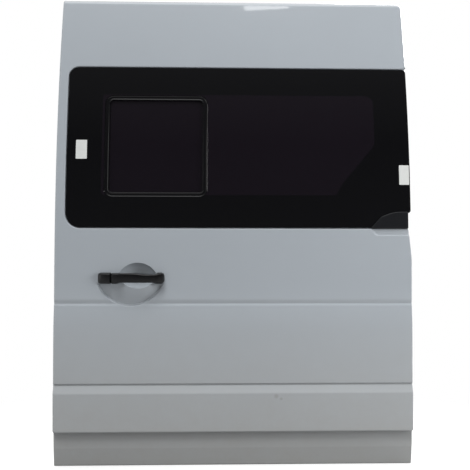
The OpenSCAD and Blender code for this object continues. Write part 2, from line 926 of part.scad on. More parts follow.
module handle_bracket() {
    ear_z = arm_h / 2 + 0.5;
    post_d = bracket_y - panel_y - sheet_t;
    color(steel)
        difference() {
            union() {
                translate([handle_x + 2, bracket_y, handle_z - bracket_h / 2])
                    cube([grip_x1 - handle_x + bracket_lap, ear_t, bracket_h]);
                for (x = [handle_x + 6, grip_x1 + 2])
                    translate([x, panel_y + sheet_t, handle_z - post_w / 2])
                        cube([post_w, post_d, post_w]);
                for (z = [handle_z + ear_z, handle_z - ear_z - ear_t])
                    translate([pivot_x - ear_w / 2, panel_y + sheet_t + ear_setback, z])
                        cube([ear_w, post_d - ear_setback, ear_t]);
            }
            translate([pivot_x, pivot_y, handle_z - 2 * arm_h])
                cylinder(r = pin_r, h = 4 * arm_h);
        }
}

module handle_pivot_pin() {
    half = arm_h / 2 + 0.5 + ear_t + 1;
    color(steel)
        translate([pivot_x, pivot_y, handle_z - half])
            cylinder(r = pin_r, h = 2 * half);
}

// Latch housing behind a side wall, with its mouth in that wall; way points into the door
module latch_unit(x, z, way) {
    y0 = inner_y - sheet_t - latch_d;
    difference() {
        translate([way > 0 ? x : x - latch_l, y0, z - latch_h / 2])
            cube([latch_l, latch_d, latch_h]);
        latch_mouth(x, z, way);
        latch_disc(x, z, way, claw_r + 1, claw_t + 1);
    }
}

module latch_mouth(x, z, way) {
    y0 = inner_y - sheet_t - latch_d;
    translate([way > 0 ? x - 3 : x - latch_l * 0.55, y0 - 1, z - mouth_w / 2])
        cube([latch_l * 0.55 + 3, latch_d * 0.75 + 1, mouth_w]);
}

module latch_disc(x, z, way, r, t) {
    translate([x + way * latch_l * 0.5, inner_y - sheet_t - latch_d / 2 + t / 2, z])
        rotate([90, 0, 0])
            cylinder(r = r, h = t);
}

module latch_claw(x, z, way) {
    difference() {
        latch_disc(x, z, way, claw_r, claw_t);
        translate([way > 0 ? x : x - latch_l * 0.55, 0, z - mouth_w / 2 + 2])
            cube([latch_l * 0.55, far, mouth_w - 4]);
        latch_disc(x, z, way, 4, claw_t + 2);
    }
    latch_disc(x, z, way, 4, claw_t + 1);
}

front_wall_x = wall_inset + sheet_t;
rear_wall_x = door_w - wall_inset - sheet_t;

module latch_cuts() {
    latch_mouth(front_wall_x, front_latch_z, 1);
    latch_mouth(rear_wall_x, rear_latch_z, -1);
}

module front_latch() {
    color(steel)
        latch_unit(front_wall_x, front_latch_z, 1);
}

module front_latch_claw() {
    color("#6E7276")
        latch_claw(front_wall_x, front_latch_z, 1);
}

module rear_latch() {
    color(steel)
        latch_unit(rear_wall_x, rear_latch_z, -1);
}

module rear_latch_claw() {
    color("#6E7276")
        latch_claw(rear_wall_x, rear_latch_z, -1);
}

module door_seal() {
    color(rubber)
        slab(inner_d, inner_d + seal_t)
            difference() {
                seal_loop(0);
                seal_loop(seal_w);
            }
}

module seal_loop(s) {
    polygon(frame_loop(seal_inset + s, seal_z + s, door_w - seal_inset - s, door_h - seal_inset - s,
        [for (i = [0:3]) seal_r - s]));
}

// Rubber buffers on the front wall, round and slightly tapered
module rubber_buffers() {
    color(rubber)
        for (z = [low_stop_z, buffer_z])
            translate([wall_inset, stop_y, z])
                rotate([0, -90, 0]) {
                    cylinder(r = stop_r, h = buffer_h * 0.67);
                    translate([0, 0, buffer_h * 0.67])
                        cylinder(r1 = stop_r, r2 = stop_r * 0.7, h = buffer_h * 0.33);
                }
}

// Steel guide pins on the rear wall, each with a flange and a pointed end
module guide_pins() {
    color(steel)
        for (z = [low_stop_z, pin_z])
            translate([door_w - wall_inset, stop_y, z])
                rotate([0, 90, 0]) {
                    cylinder(r = stop_r, h = pin_reach * 0.2);
                    translate([0, 0, pin_reach * 0.2])
                        cylinder(r = stop_r / 2, h = pin_reach * 0.47);
                    translate([0, 0, pin_reach * 0.67])
                        cylinder(r1 = stop_r / 2, r2 = stop_r / 4, h = pin_reach * 0.33);
                }
}

module hinge_plate() {
    color(steel)
        difference() {
            intersection() {
                translate([pad_x - pad_w / 2, pad_y - pad_t - 10, pad_z - pad_h / 2])
                    cube([pad_w, pad_t + 10, pad_h]);
                along(pad_x - pad_w, pad_x + pad_w)
                    behind_bend(inner_d, pad_z - pad_h, pad_z + pad_h);
                across()
                    polygon(frame_loop(pad_x - pad_w / 2, pad_z - pad_h / 2, pad_x + pad_w / 2,
                        pad_z + pad_h / 2, [8, 8, 8, 8]));
            }
            hinge_holes();
        }
}

// Mounting plate of the lower arm with the ledge that the arm lies on
module lower_arm_bracket() {
    ledge_w = arm_plate_w * 0.75;
    color(steel) {
        translate([arm_inset, inner_y, lower_arm_z - arm_plate_h / 2])
            cube([arm_plate_w, arm_t, arm_plate_h]);
        translate([arm_inset + (arm_plate_w - ledge_w) / 2, inner_y + arm_t, lower_arm_z - arm_t])
            cube([ledge_w, 30, arm_t]);
    }
}

// Bent flat arm that reaches into the van and carries the rollers
module lower_roller_arm() {
    y0 = inner_y + arm_t;
    x0 = arm_inset + 20;
    end_x = arm_inset - 20;
    color(steel)
        difference() {
            union() {
                translate([0, 0, lower_arm_z])
                    linear_extrude(height = arm_t)
                        polygon(loop([[x0, y0, 3], [x0 + arm_w * 1.6, y0, 3],
                            [x0 + arm_w, y0 + 60, 40], [end_x + arm_w, y0 + lower_reach - 20, 20],
                            [end_x + arm_w, y0 + lower_reach, 8], [end_x, y0 + lower_reach, 8],
                            [end_x, y0 + lower_reach - 40, 20], [x0, y0 + 50, 40]]));
                // Tab that the axle of the support roller passes through
                translate([end_x + 3, tab_y, lower_arm_z - support_drop - 10])
                    cube([arm_w - 6, tab_t, support_drop + 11]);
            }
            translate([end_x + arm_w / 2, y0 + lower_reach - guide_back, lower_arm_z - 1])
                cylinder(r = axle_r, h = arm_t + 2);
            translate([end_x + arm_w / 2, tab_y + tab_t + 1, lower_arm_z - support_drop])
                rotate([90, 0, 0])
                    cylinder(r = axle_r, h = tab_t + 2);
        }
}

// A guide roller on an upright axle above the arm and a support roller on a level one below it
module lower_rollers() {
    x = arm_inset - 20 + arm_w / 2;
    color("#3A3C40") {
        translate([x, inner_y + arm_t + lower_reach - guide_back, lower_arm_z - 2])
            guide_roller();
        translate([x, tab_y + tab_t, lower_arm_z - support_drop])
            rotate([-90, 0, 0]) {
                translate([0, 0, -tab_t - 2])
                    cylinder(r = axle_r, h = tab_t + 2 + 2 + roller_w);
                translate([0, 0, 2])
                    cylinder(r = support_r, h = roller_w);
            }
    }
}

// Distance of a guide roller's axle from the end of its arm, and the radius of the axles
guide_back = 14;
axle_r = 4;

// Tab under the lower arm and the drop from the arm to the support roller's axle
tab_t = 5;
tab_y = inner_y + arm_t + lower_reach - guide_back - guide_r - roller_w - tab_t;
support_drop = support_r + move_gap;

module guide_roller() {
    cylinder(r = axle_r, h = arm_t + 4);
    translate([0, 0, arm_t + 3])
        cylinder(r = guide_r, h = roller_w);
}

module upper_roller_arm() {
    y0 = bend_y(upper_arm_z, inner_d);
    plate_w = 2 * arm_w;
    plate_low = upper_arm_z - 44;
    plate_high = upper_arm_z + 26;
    color(steel)
        difference() {
            union() {
                along(arm_inset, arm_inset + plate_w)
                    difference() {
                        behind_bend(inner_d, plate_low, plate_high);
                        behind_bend(inner_d + arm_t, plate_low - 1, plate_high + 1);
                    }
                translate([arm_inset + arm_w / 2, y0 + arm_t / 2, upper_arm_z])
                    cube([arm_w, upper_reach - arm_t / 2, arm_t]);
            }
            translate([arm_inset + arm_w, y0 + upper_reach - guide_back, upper_arm_z - 1])
                cylinder(r = axle_r, h = arm_t + 2);
        }
}

module upper_roller() {
    y0 = bend_y(upper_arm_z, inner_d);
    color("#3A3C40")
        translate([arm_inset + arm_w, y0 + upper_reach - guide_back, upper_arm_z - 2])
            guide_roller();
}

cup_x = trim_x + cup_inset;
cup_z = handle_z - handle_h / 2 - cup_h - cup_below;

module cup_cut() {
    across(panel_y + 20)
        polygon(frame_loop(cup_x, cup_z, cup_x + cup_w, cup_z + cup_h, [10, 10, 10, 10]));
}

module trim_panel() {
    color("#55585C")
        difference() {
            slab(inner_d, inner_d + trim_t)
                polygon(frame_loop(trim_x, trim_z, trim_x + trim_w, trim_z + trim_h, [30, 30, 30, 30]));
            cup_cut();
        }
}

module release_bezel() {
    y1 = inner_y + trim_t;
    wall = 2;
    color(black)
        difference() {
            union() {
                across(y1 - cup_d, y1)
                    polygon(frame_loop(cup_x + 0.3, cup_z + 0.3, cup_x + cup_w - 0.3, cup_z + cup_h - 0.3,
                        [9.7, 9.7, 9.7, 9.7]));
                across(y1, y1 + 2)
                    polygon(frame_loop(cup_x - 5, cup_z - 5, cup_x + cup_w + 5, cup_z + cup_h + 5,
                        [14, 14, 14, 14]));
            }
            across(y1 - cup_d + wall, y1 + 3)
                polygon(frame_loop(cup_x + wall, cup_z + wall, cup_x + cup_w - wall, cup_z + cup_h - wall,
                    [8, 8, 8, 8]));
        }
}

// Lever inside the cup, on a boss that stands on the cup's floor
module release_lever() {
    y1 = inner_y + trim_t;
    mid = cup_z + cup_h / 2;
    color(black) {
        across(y1 - 6, y1 - 1)
            polygon(frame_loop(cup_x + 14, mid - 13, cup_x + cup_w - 30, mid + 13, [6, 4, 4, 6]));
        across(y1 - cup_d + 2, y1 - 6)
            polygon(frame_loop(cup_x + cup_w - 48, mid - 13, cup_x + cup_w - 32, mid + 13, [3, 3, 3, 3]));
    }
}

module placed() {
    translate([-pad_x, -pad_y, -pad_z])
        children();
}

placed() outer_skin();
placed() handle_bowl();
placed() sill_strip();
placed() inner_panel();
placed() window_frame();
placed() window_glass();
placed() glass_bond();
placed() pane_frame();
placed() sliding_pane();
placed() pane_top_rail();
placed() pane_bottom_rail();
placed() pane_latch();
placed() rail_end_cap();
placed() handle_grip();
placed() handle_end_cap();
placed() handle_gaskets();
placed() handle_bracket();
placed() handle_pivot_pin();
placed() front_latch();
placed() front_latch_claw();
placed() rear_latch();
placed() rear_latch_claw();
placed() door_seal();
placed() rubber_buffers();
placed() guide_pins();
placed() hinge_plate();
placed() lower_arm_bracket();
placed() lower_roller_arm();
placed() lower_rollers();
placed() upper_roller_arm();
placed() upper_roller();
placed() trim_panel();
placed() release_bezel();
placed() release_lever();
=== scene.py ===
"""Left sliding door of a high panel van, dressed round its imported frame."""

import math

import bmesh
import bpy
import numpy as np
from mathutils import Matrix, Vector, kdtree
from mathutils.geometry import delaunay_2d_cdt


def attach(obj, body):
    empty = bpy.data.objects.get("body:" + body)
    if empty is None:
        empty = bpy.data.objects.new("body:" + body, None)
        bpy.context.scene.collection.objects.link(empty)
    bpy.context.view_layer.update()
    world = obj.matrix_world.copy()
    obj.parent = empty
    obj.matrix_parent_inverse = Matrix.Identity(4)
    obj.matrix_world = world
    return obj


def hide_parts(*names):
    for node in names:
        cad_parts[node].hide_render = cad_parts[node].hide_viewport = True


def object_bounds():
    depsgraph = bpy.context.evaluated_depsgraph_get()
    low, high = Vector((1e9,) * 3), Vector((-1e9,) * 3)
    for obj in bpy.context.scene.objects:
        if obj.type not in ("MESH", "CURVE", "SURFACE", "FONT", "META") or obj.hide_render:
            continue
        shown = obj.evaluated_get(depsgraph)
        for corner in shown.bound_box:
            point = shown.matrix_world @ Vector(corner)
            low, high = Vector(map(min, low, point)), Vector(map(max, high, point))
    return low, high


bl_info = {
    "name": "Van sliding door",
    "version": (1, 0, 0),
    "blender": (4, 5, 0),
    "location": "3D View > Sidebar > Van door",
    "description": "Builds the looks of a van sliding door round its frame",
    "category": "Object",
}

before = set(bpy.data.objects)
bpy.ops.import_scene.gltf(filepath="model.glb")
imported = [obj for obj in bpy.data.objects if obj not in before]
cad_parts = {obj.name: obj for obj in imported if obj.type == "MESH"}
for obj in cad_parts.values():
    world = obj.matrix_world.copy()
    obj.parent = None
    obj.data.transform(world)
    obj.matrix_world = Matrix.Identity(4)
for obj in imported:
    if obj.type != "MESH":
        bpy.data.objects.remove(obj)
CAD_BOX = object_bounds()

# Sizes of the frame in millimetres, from its front edge, outermost panel face and lowest edge
DOOR_W, DOOR_H = 1095.0, 1463.0
WAIST_Z, BEND_R = 591.0, 2800.0
SHOULDER_Z, SHOULDER_STEP, SHOULDER_TUCK, SHOULDER_DROP = 498.0, 7.0, 3.0, 10.0
SHOULDER_LEAN, SHOULDER_FADE, SHOULDER_R = 7.0, 65.0, 500.0
LEDGE_Z, LEDGE_DROP, LEDGE_STEP, LEDGE_TUCK = 248.0, 25.0, 7.0, 4.0
BULGE_Z, FLOOR_Z = 104.0, 112.0
INNER_D, WALL_INSET, EDGE_D = 60.0, 20.0, 12.0
STRIP_SETBACK, STRIP_LEAN, STRIP_FOLD_Z, STRIP_FLANGE = 18.0, 13.0, 55.0, 16.0
GLASS_X, GLASS_X1, GLASS_Z, GLASS_Z1 = 34.0, 1092.5, 726.0, 1230.0
GLASS_T, RECESS_D, GLASS_GAP = 4.0, 8.0, 2.5
OPENING = (66.0, 758.0, 990.0, 1198.0)
SLANT_W, SLANT_H, OPENING_R = 110.0, 230.0, 30.0
PANE = (148.0, 819.0, 465.0, 1139.0)
PANE_R, FRAME_W, PANE_LAP = 26.0, 15.0, 9.0
PANE_D = RECESS_D + 1.8
RAIL_D = PANE_D + GLASS_T + 0.3
RAIL_X1, RAIL_FOOT, RAIL_LIP = 798.0, 12.0, 3.5
CAP_X, CAP_X1, CAP_Z, CAP_Z1 = 965.0, 1085.0, 723.5, 776.5
POCKET_H, POCKET_D, NOTCH_W, NOTCH_L = 21.0, 5.0, 9.0, 90.0
HANDLE_X, HANDLE_Z, HANDLE_H, END_W = 134.0, 571.0, 33.0, 38.0
GRIP_X, GRIP_X1, GRIP_OUT, GRIP_T, GRIP_WAIST = 177.0, 334.0, 34.0, 14.0, 4.0
FRONT_FOOT, REAR_FOOT, MOVE_GAP = 16.0, 21.0, 5.0
PIVOT_X, PIN_D, ARM_W, ARM_H, ARM_GAP = 320.98, 12.0, 8.0, 16.0, 3.0
CLAW_X, CLAW_W, CLAW_D, CLAW_H = 182.12, 7.0, 32.0, 14.0
PAN_X, PAN_Z, PAN_R, PAN_D, PAN_LEAN, PAN_SLOPE = 230.0, 593.0, 107.0, 8.0, 5.0, 0.35
FINGER_X, FINGER_Z, FINGER_W, FINGER_H, FINGER_D = 253.0, 578.0, 116.0, 80.0, 35.0
SEAL = (23.0, 205.0, 1072.0, 1440.0)
SEAL_W, SEAL_T, SEAL_R = 13.0, 11.0, 45.0
TRIM = (62.0, 240.0, 912.0, 635.0)
TRIM_T = 3.0
CUP = (132.0, 446.5, 242.0, 508.5)
CUP_R, FIELD_R = 10.0, 24.0
FIELD = (TRIM[0] + 190, TRIM[1] + 45, TRIM[2] - 45, TRIM[3] - 45)
HOLES_X, HOLE_Z, HOLE_HALF, HOLE_R = (334.5, 547.0, 759.5), 437.5, 65.0, 12.0
# Clear area of the glass inside its printed border
CLEAR = [(140, 826, 10), (862, 826, 14), (880, 860, 20), (985, 984, 30), (985, 1142, 26), (140, 1142, 10)]
LABELS = (("label_front", (61, 937, 95, 996)), ("label_rear", (1059, 860, 1090, 921)))
LABEL_T, LABEL_R = 0.2, 1.5
# Bolts of the lower bracket as columns and rows, and those of the upper arm
LOW_BOLTS, HIGH_BOLTS, BRACKET_T = ((84, 166), (130, 185)), ((82, 1366), (126, 1366), (104, 1414)), 6.0
# Each latch's face, the way it looks and its height, and the screws round its middle
LATCHES = ((WALL_INSET, -1.0, 470), (DOOR_W - WALL_INSET, 1.0, 520))
LATCH_Y, LATCH_SCREWS = 64.0, ((-12, -34), (-12, 34), (12, 20))
CLIP_Z, CLIP_INSET = (340, 437, 535), 20.0
SHEET_T, WALL_R, WALL_GAP, CAP_RISE = 1.2, 6.0, 1.9, 3.0
# Roll of the skin's foot and top, how far the top turns back, and the line from which it does
FOOT_ROLL, TOP_ROLL, TOP_TURN, TOP_LINE = 7.0, 16.0, 39.0, 12.0
# Middle of the hinge pad, where the part's origin is
PAD = (1005.0, 87.13336, 722.0)
PANEL_Y = SHOULDER_STEP + LEDGE_STEP
INNER_Y = PANEL_Y + INNER_D
BEND_CY = PANEL_Y + BEND_R
FINGER_OUT = ((FINGER_H / 2) ** 2 - FINGER_D ** 2) / (2 * FINGER_D)
FINGER_MID = FINGER_OUT + FINGER_D
FINGER_ARC = ((FINGER_W / 2) ** 2 + FINGER_D ** 2) / (2 * FINGER_D)
OUT, IN = -1, 1
# Fields of the skin with a fine lattice: the pan with its finger bowl, and the pocket under the rail end cap
BOWL_FIELD, POCKET_FIELD = (106, 472, 356, 628), (950, 694, 1088, 718)
# Edges are softened where faces meet at more than the first angle, and drawn sharp past the second
BEVEL_FROM, SHARP_FROM = 28, 35
# In metres: the middle of the door's width
MIDDLE_X = -0.4575
# Greys of the dim room, by height from its foot to its top
GREYS = ((0.49, 0.18), (0.56, 0.07), (0.70, 0.05), (0.90, 0.18))
# Name, place, size, share of the lamp power, and whether it is seen in reflections. The key lamp isn't, so
# the gloss paint and the glass show the dim room, and it is far enough away to light top and foot alike.
LAMPS = (("soft_key", (-6.8, -17.3, 31.5), (14.4, 14.4), 5.4, False),
         ("soft_left", (-3.6, -1.7, 0.6), (2.0, 2.0), 0.007, True),
         ("soft_right", (2.6, -1.9, 0.4), (2.0, 2.0), 0.04, False),
         ("roof_light", (-0.16, -1.62, 3.0), (0.3, 0.2), 0.0006, True),
         ("soft_behind", (1.4, 3.0, 2.0), (2.0, 2.0), 0.08, True))
CAMERA_AT, CAMERA_TURN, LENS = (-0.5401, -2.5182, -0.0567), (90.89, -0.07, -1.983), 61.33


def linear(hex_colour):
    """sRGB hex value as a linear colour with alpha."""
    parts = [int(hex_colour[i:i + 2], 16) / 255 for i in (1, 3, 5)]
    return tuple(c / 12.92 if c <= 0.04045 else ((c + 0.055) / 1.055) ** 2.4 for c in parts) + (1.0,)


def colour_property(name, description, value):
    return bpy.props.FloatVectorProperty(name=name, description=description, subtype="COLOR", size=4,
                                         min=0.0, max=1.0, default=linear(value))


def length_property(name, description, value, low, high):
    return bpy.props.FloatProperty(name=name, description=description, unit="LENGTH", default=value,
                                   min=low, max=high, precision=4)


class VanDoorSettings(bpy.types.PropertyGroup):
    """Sizes and colours of the door that a user would change."""

    paint: colour_property("Body paint", "Colour of the outer skin", "#999FA5")
    inner_paint: colour_property("Inner paint", "Colour of the pressed inner structure", "#8F959A")
    glass: colour_property("Privacy glass", "Colour of the tinted glass", "#120E14")
    frit: colour_property("Printed border", "Colour of the fired border on the glass", "#08080A")
    plastic: colour_property("Black plastic", "Colour of the caps, rails and frames", "#121316")
    rubber: colour_property("Rubber", "Colour of the seal and buffers", "#1D1E20")
    steel: colour_property("Plated steel", "Colour of the zinc plated hardware", "#A9ABA8")
    board: colour_property("Trim board", "Colour of the inner trim panel", "#4A4D51")
    lip_r: length_property("Lip radius", "Radius of the rolled lip round the window", 0.003, 0.001, 0.005)
    edge_r: length_property("Edge radius", "Radius of the door's turned edges", 0.004, 0.002, 0.006)
    peel: length_property("Paint ripple", "Wave length of the ripple in the paint", 0.004, 0.001, 0.01)
    bolt_r: length_property("Bolt head", "Radius across the corners of a bolt head", 0.0075, 0.004, 0.01)
    screw_r: length_property("Screw head", "Radius of a latch screw head", 0.0055, 0.003, 0.008)
    clip_r: length_property("Trim clip", "Radius of a trim clip head", 0.009, 0.006, 0.012)
    lamp_w: bpy.props.FloatProperty(name="Lamp power", description="Power that each lamp has a set share of",
                                    unit="POWER", default=2150.0, min=0.0, max=6000.0)


def settings():
    return bpy.context.scene.van_door


# Outlines

def bend_y(z, d=0.0):
    """Depth of the outer surface at a height, or of a surface deeper by d."""
    return BEND_CY - np.sqrt((BEND_R - d) ** 2 - np.maximum(np.asarray(z, float) - WAIST_Z, 0) ** 2)


def corner_arc(a, b, c, r, n):
    """Points of the rounding of radius r at b, on the way from a to c."""
    a, b, c = (np.array(p[:2], float) for p in (a, b, c))
    u, v = (a - b) / np.linalg.norm(a - b), (c - b) / np.linalg.norm(c - b)
    half = math.acos(max(-1.0, min(1.0, float(u @ v)))) / 2
    centre = b + (u + v) / np.linalg.norm(u + v) * r / math.sin(half)
    p, q = b + u * r / math.tan(half) - centre, b + v * r / math.tan(half) - centre
    start = math.atan2(p[1], p[0])
    turn = (math.atan2(q[1], q[0]) - start + 3 * math.pi) % (2 * math.pi) - math.pi
    return [centre + r * np.array([math.cos(start + turn * i / n), math.sin(start + turn * i / n)])
            for i in range(n + 1)]


def ring(corners, step, n, counts=None):
    """Closed line round the corners (x, z, radius) and the number of steps on each side."""
    arcs = [corner_arc(corners[i - 1], corners[i], corners[(i + 1) % len(corners)], corners[i][2], n)
            for i in range(len(corners))]
    points, used = [], []
    for i, arc in enumerate(arcs):
        following = arcs[(i + 1) % len(arcs)][0]
        count = counts[i] if counts else max(1, int(np.linalg.norm(following - arc[-1]) / step))
        used.append(count)
        points += arc
        points += [arc[-1] + (following - arc[-1]) * k / count for k in range(1, count)]
    return np.array(points), used


def rectangle(box, s, radii):
    """Corners of a box shrunk by s: low front, low rear, top rear, top front."""
    x0, z0, x1, z1 = box
    r = [max(value - s, 0.4) for value in radii]
    return [(x0 + s, z0 + s, r[0]), (x1 - s, z0 + s, r[1]), (x1 - s, z1 - s, r[2]), (x0 + s, z1 - s, r[3])]


def box_line(box, s, r, step, n, counts=None):
    """Closed line round a box shrunk by s, with corners of one radius, and the steps on its sides."""
    return ring(rectangle(box, s, (r,) * 4), step, n, counts)


def opening_corners(g):
    """Corners of the window opening, grown by g."""
    x0, z0, x1, z1 = OPENING
    r = OPENING_R + g
    return [(x0 - g, z0 - g, r), (x1 - SLANT_W + g / 2, z0 - g, r), (x1 + g, z0 + SLANT_H - g / 2, r),
            (x1 + g, z1 + g, r), (x0 - g, z1 + g, r)]


def cap_corners():
    """Corners of the rail end cap: a flat foot, an upright rear edge and an arched front."""
    w = CAP_X1 - CAP_X
    return [(CAP_X, CAP_Z, 3), (CAP_X1, CAP_Z, 4), (CAP_X1, CAP_Z1, 4), (CAP_X1 - w * 0.38, CAP_Z1 - 1, 120),
            (CAP_X + w * 0.3, CAP_Z1 - 16, 30), (CAP_X + 10, CAP_Z + 9, 20)]


def moved_loop(points, t):
    """A closed line moved sideways by t, inwards where its points run anticlockwise."""
    before = points - np.roll(points, 1, 0)
    after = np.roll(points, -1, 0) - points
    before = before / np.maximum(np.linalg.norm(before, axis=1, keepdims=True), 1e-9)
    after = after / np.maximum(np.linalg.norm(after, axis=1, keepdims=True), 1e-9)
    normal = np.stack([-(before + after)[:, 1], (before + after)[:, 0]], 1)
    normal /= np.linalg.norm(normal, axis=1, keepdims=True)
    first = np.stack([-before[:, 1], before[:, 0]], 1)
    return points + normal * t / np.maximum((normal * first).sum(1, keepdims=True), 0.3)


def inside(points, polygon):
    """Which points lie inside a closed polygon."""
    x, z = points[:, 0], points[:, 1]
    found = np.zeros(len(points), bool)
    for (x0, z0), (x1, z1) in zip(polygon, np.roll(polygon, -1, 0)):
        if z0 == z1:
            continue
        crosses = (z0 > z) != (z1 > z)
        found ^= crosses & (x < (x1 - x0) * (z - z0) / (z1 - z0) + x0)
    return found


def depth_inside(x, z, box, radii):
    """Distance inside a rounded box, below zero outside it."""
    x0, z0, x1, z1 = box
    cx, cz = (x0 + x1) / 2, (z0 + z1) / 2
    low = z < cz
    r = np.where(low, np.where(x < cx, radii[0], radii[1]), np.where(x < cx, radii[3], radii[2]))
    qx, qz = np.abs(x - cx) - (x1 - x0) / 2 + r, np.abs(z - cz) - (z1 - z0) / 2 + r
    return -(np.minimum(np.maximum(qx, qz), 0) + np.hypot(np.maximum(qx, 0), np.maximum(qz, 0)) - r)


def ease(t):
    """Smooth step from 0 to 1."""
    t = np.clip(t, 0, 1)
    return t * t * (3 - 2 * t)


def softer_max(a, b, k):
    """The larger of two values, blended where they differ by less than k."""
    return np.maximum(a, b) + np.maximum(k - np.abs(a - b), 0) ** 2 / (4 * k)


def plateau(x, start, rise, end, fall):
    """1 between two runs: up from the start over rise, and down from the end over fall."""
    return ease((x - start) / rise) * (1 - ease((x - end) / fall))


def softer_min(a, b, k):
    return -softer_max(-a, -b, k)


def spans(*parts):
    """Rising values from (start, end, step) parts."""
    values = [np.linspace(a, b, max(2, int(round((b - a) / step)) + 1)) for a, b, step in parts]
    return np.unique(np.round(np.concatenate(values), 3))


def lattice(xs, zs):
    """All points (x, z) of two lists of values."""
    gx, gz = np.meshgrid(xs, zs)
    return np.stack([gx.ravel(), gz.ravel()], 1)


def beyond(grid, x0, z0, x1, z1):
    """Points of a lattice that lie more than 1 mm outside a box."""
    x, z = grid[:, 0], grid[:, 1]
    return grid[(x < x0 - 1) | (x > x1 + 1) | (z < z0 - 1) | (z > z1 + 1)]


# Pressed surfaces, as depth over (x, z)

def line_of(corners):
    """Open line through corners (y, z, radius), rounded."""
    points = [np.array(corners[0][:2], float)]
    for a, b, c in zip(corners, corners[1:], corners[2:]):
        points += corner_arc(a, b, c, b[2], 10) if b[2] else [np.array(b[:2], float)]
    return np.array(points + [np.array(corners[-1][:2], float)])


CREASE_Z = SHOULDER_Z - SHOULDER_DROP * 0.4
# Section of the skin below the waist: shoulder crease, ledge and bulge
LOW_LINE = line_of([(PANEL_Y, WAIST_Z, 0), (PANEL_Y, CREASE_Z + SHOULDER_DROP * 1.2, 30),
                    (PANEL_Y + SHOULDER_TUCK, CREASE_Z, 3),
                    (LEDGE_STEP + SHOULDER_LEAN, SHOULDER_Z - SHOULDER_DROP, 8),
                    (LEDGE_STEP, SHOULDER_Z - SHOULDER_FADE, SHOULDER_R),
                    (LEDGE_STEP, LEDGE_Z + LEDGE_TUCK * 1.1, 2), (LEDGE_STEP + LEDGE_TUCK, LEDGE_Z, 2),
                    (0, LEDGE_Z - LEDGE_DROP, 10), (0, BULGE_Z - 20, 0)])[::-1]
# Section of the lip round the glass recess: distance in lip radii, and depth
LIP = np.array([(-1.0, 0.0), (-0.75, 0.035), (-0.5, 0.135), (-0.25, 0.34), (-0.1, 0.56), (0.0, 1.0),
                (0.17, 2.0), (0.35, 2.4), (0.6, 2.6), (0.8, 2.667)])


def panel_y(z):
    """Depth of the door's outer panel without its recess and bowls."""
    low = np.interp(z, LOW_LINE[:, 1], LOW_LINE[:, 0])
    return np.where(z < WAIST_Z, low, bend_y(z))


def bowl_y(x, z):
    """Depth of the pan and of the finger bowl behind the grip."""
    r = np.hypot(x - PAN_X, z - PAN_Z)
    top = HANDLE_Z - HANDLE_H / 2
    wall = PANEL_Y + (PAN_R - r) / PAN_SLOPE
    floor = PANEL_Y + PAN_D + math.tan(math.radians(PAN_LEAN)) * (top - z)
    upper = PANEL_Y + (top + 2 - z) / 0.5
    pan = softer_min(softer_min(wall, floor, 4.0), upper, 4.0)
    dx = np.clip(np.abs(x - FINGER_X), 0, FINGER_ARC - 1)
    rho = FINGER_MID - FINGER_ARC + np.sqrt(FINGER_ARC ** 2 - dx ** 2)
    reach = np.sqrt(np.maximum(rho, 0) ** 2 - np.minimum(np.abs(z - FINGER_Z), np.maximum(rho, 0)) ** 2)
    past = np.maximum(np.abs(z - FINGER_Z) - np.maximum(rho, 0), 0) + np.maximum(-rho, 0)
    finger = PANEL_Y - FINGER_OUT + reach - 2 * past
    return softer_max(pan, finger, 5.0)


def bowl_lines():
    """Level lines of the finger bowl, and open lines along the pan's rim below the grip."""
    closed, along_rim = [], []
    for depth in (-5.2, -3, -1, 1, 3, 5, 7, 8.5, 10, 12.5, 16, 21, 27):
        level = FINGER_OUT + depth
        half = math.sqrt(FINGER_ARC ** 2 - (level - FINGER_MID + FINGER_ARC) ** 2)
        turn = np.linspace(0, 2 * math.pi, int(half * 2.6), endpoint=False)
        dx = half * np.cos(turn)
        rho = FINGER_MID - FINGER_ARC + np.sqrt(FINGER_ARC ** 2 - dx ** 2)
        dz = np.sign(np.sin(turn)) * np.sqrt(np.maximum(rho ** 2 - level ** 2, 0))
        closed.append(np.stack([FINGER_X + dx, FINGER_Z + dz], 1))
    closed.append(moved_loop(closed[0], -0.8))
    for wider in (2.2, 1.4, 0.7, 0, -0.7, -1.4, -2.1, -2.8, -3.5, -4.4):
        r = PAN_R + wider
        start = math.asin((PAN_Z - HANDLE_Z + HANDLE_H / 2 + 1.5) / r)
        turn = np.linspace(-math.pi + start, -start, 100)
        along_rim.append(np.stack([PAN_X + r * np.cos(turn), PAN_Z + r * np.sin(turn)], 1))
    return closed, along_rim


# The recess runs out past the rear edge of the skin
RECESS = (GLASS_X - GLASS_GAP, GLASS_Z - GLASS_GAP, DOOR_W + 300, GLASS_Z1 + GLASS_GAP)
RECESS_RADII = (47.5, 1.0, 1.0, 32.5)


def skin_y(x, z):
    """Depth of the outer skin with its glass recess, pocket, pan and finger bowl."""
    y = panel_y(z)
    lip = settings().lip_r * 1000
    s = depth_inside(x, z, RECESS, RECESS_RADII)
    y = y + np.interp(s / lip, LIP[:, 0], LIP[:, 1]) * RECESS_D / LIP[-1, 1]
    # The pocket under the end cap deepens downwards, so its floor looks down and lies in shade
    left = (x - (CAP_X + 2)) - (CAP_Z - z) * 20 / POCKET_H
    low = z - (CAP_Z - POCKET_H)
    pocket = ease((left + 6) / 14) * ease((low + 1) / 4) * (1 - ease((z - CAP_Z - 1) / 2))
    shallower = 0.4 + 2.8 * np.clip(low / POCKET_H, 0, 1)
    y = y + (POCKET_D - shallower) * pocket * np.where(z < CAP_Z + 3, 1, 0)
    near = (np.abs(x - PAN_X) < 150) & (z > 440) & (z < 640)
    return np.where(near, softer_max(y, np.where(near, bowl_y(x, z), -99), 4.0), y)


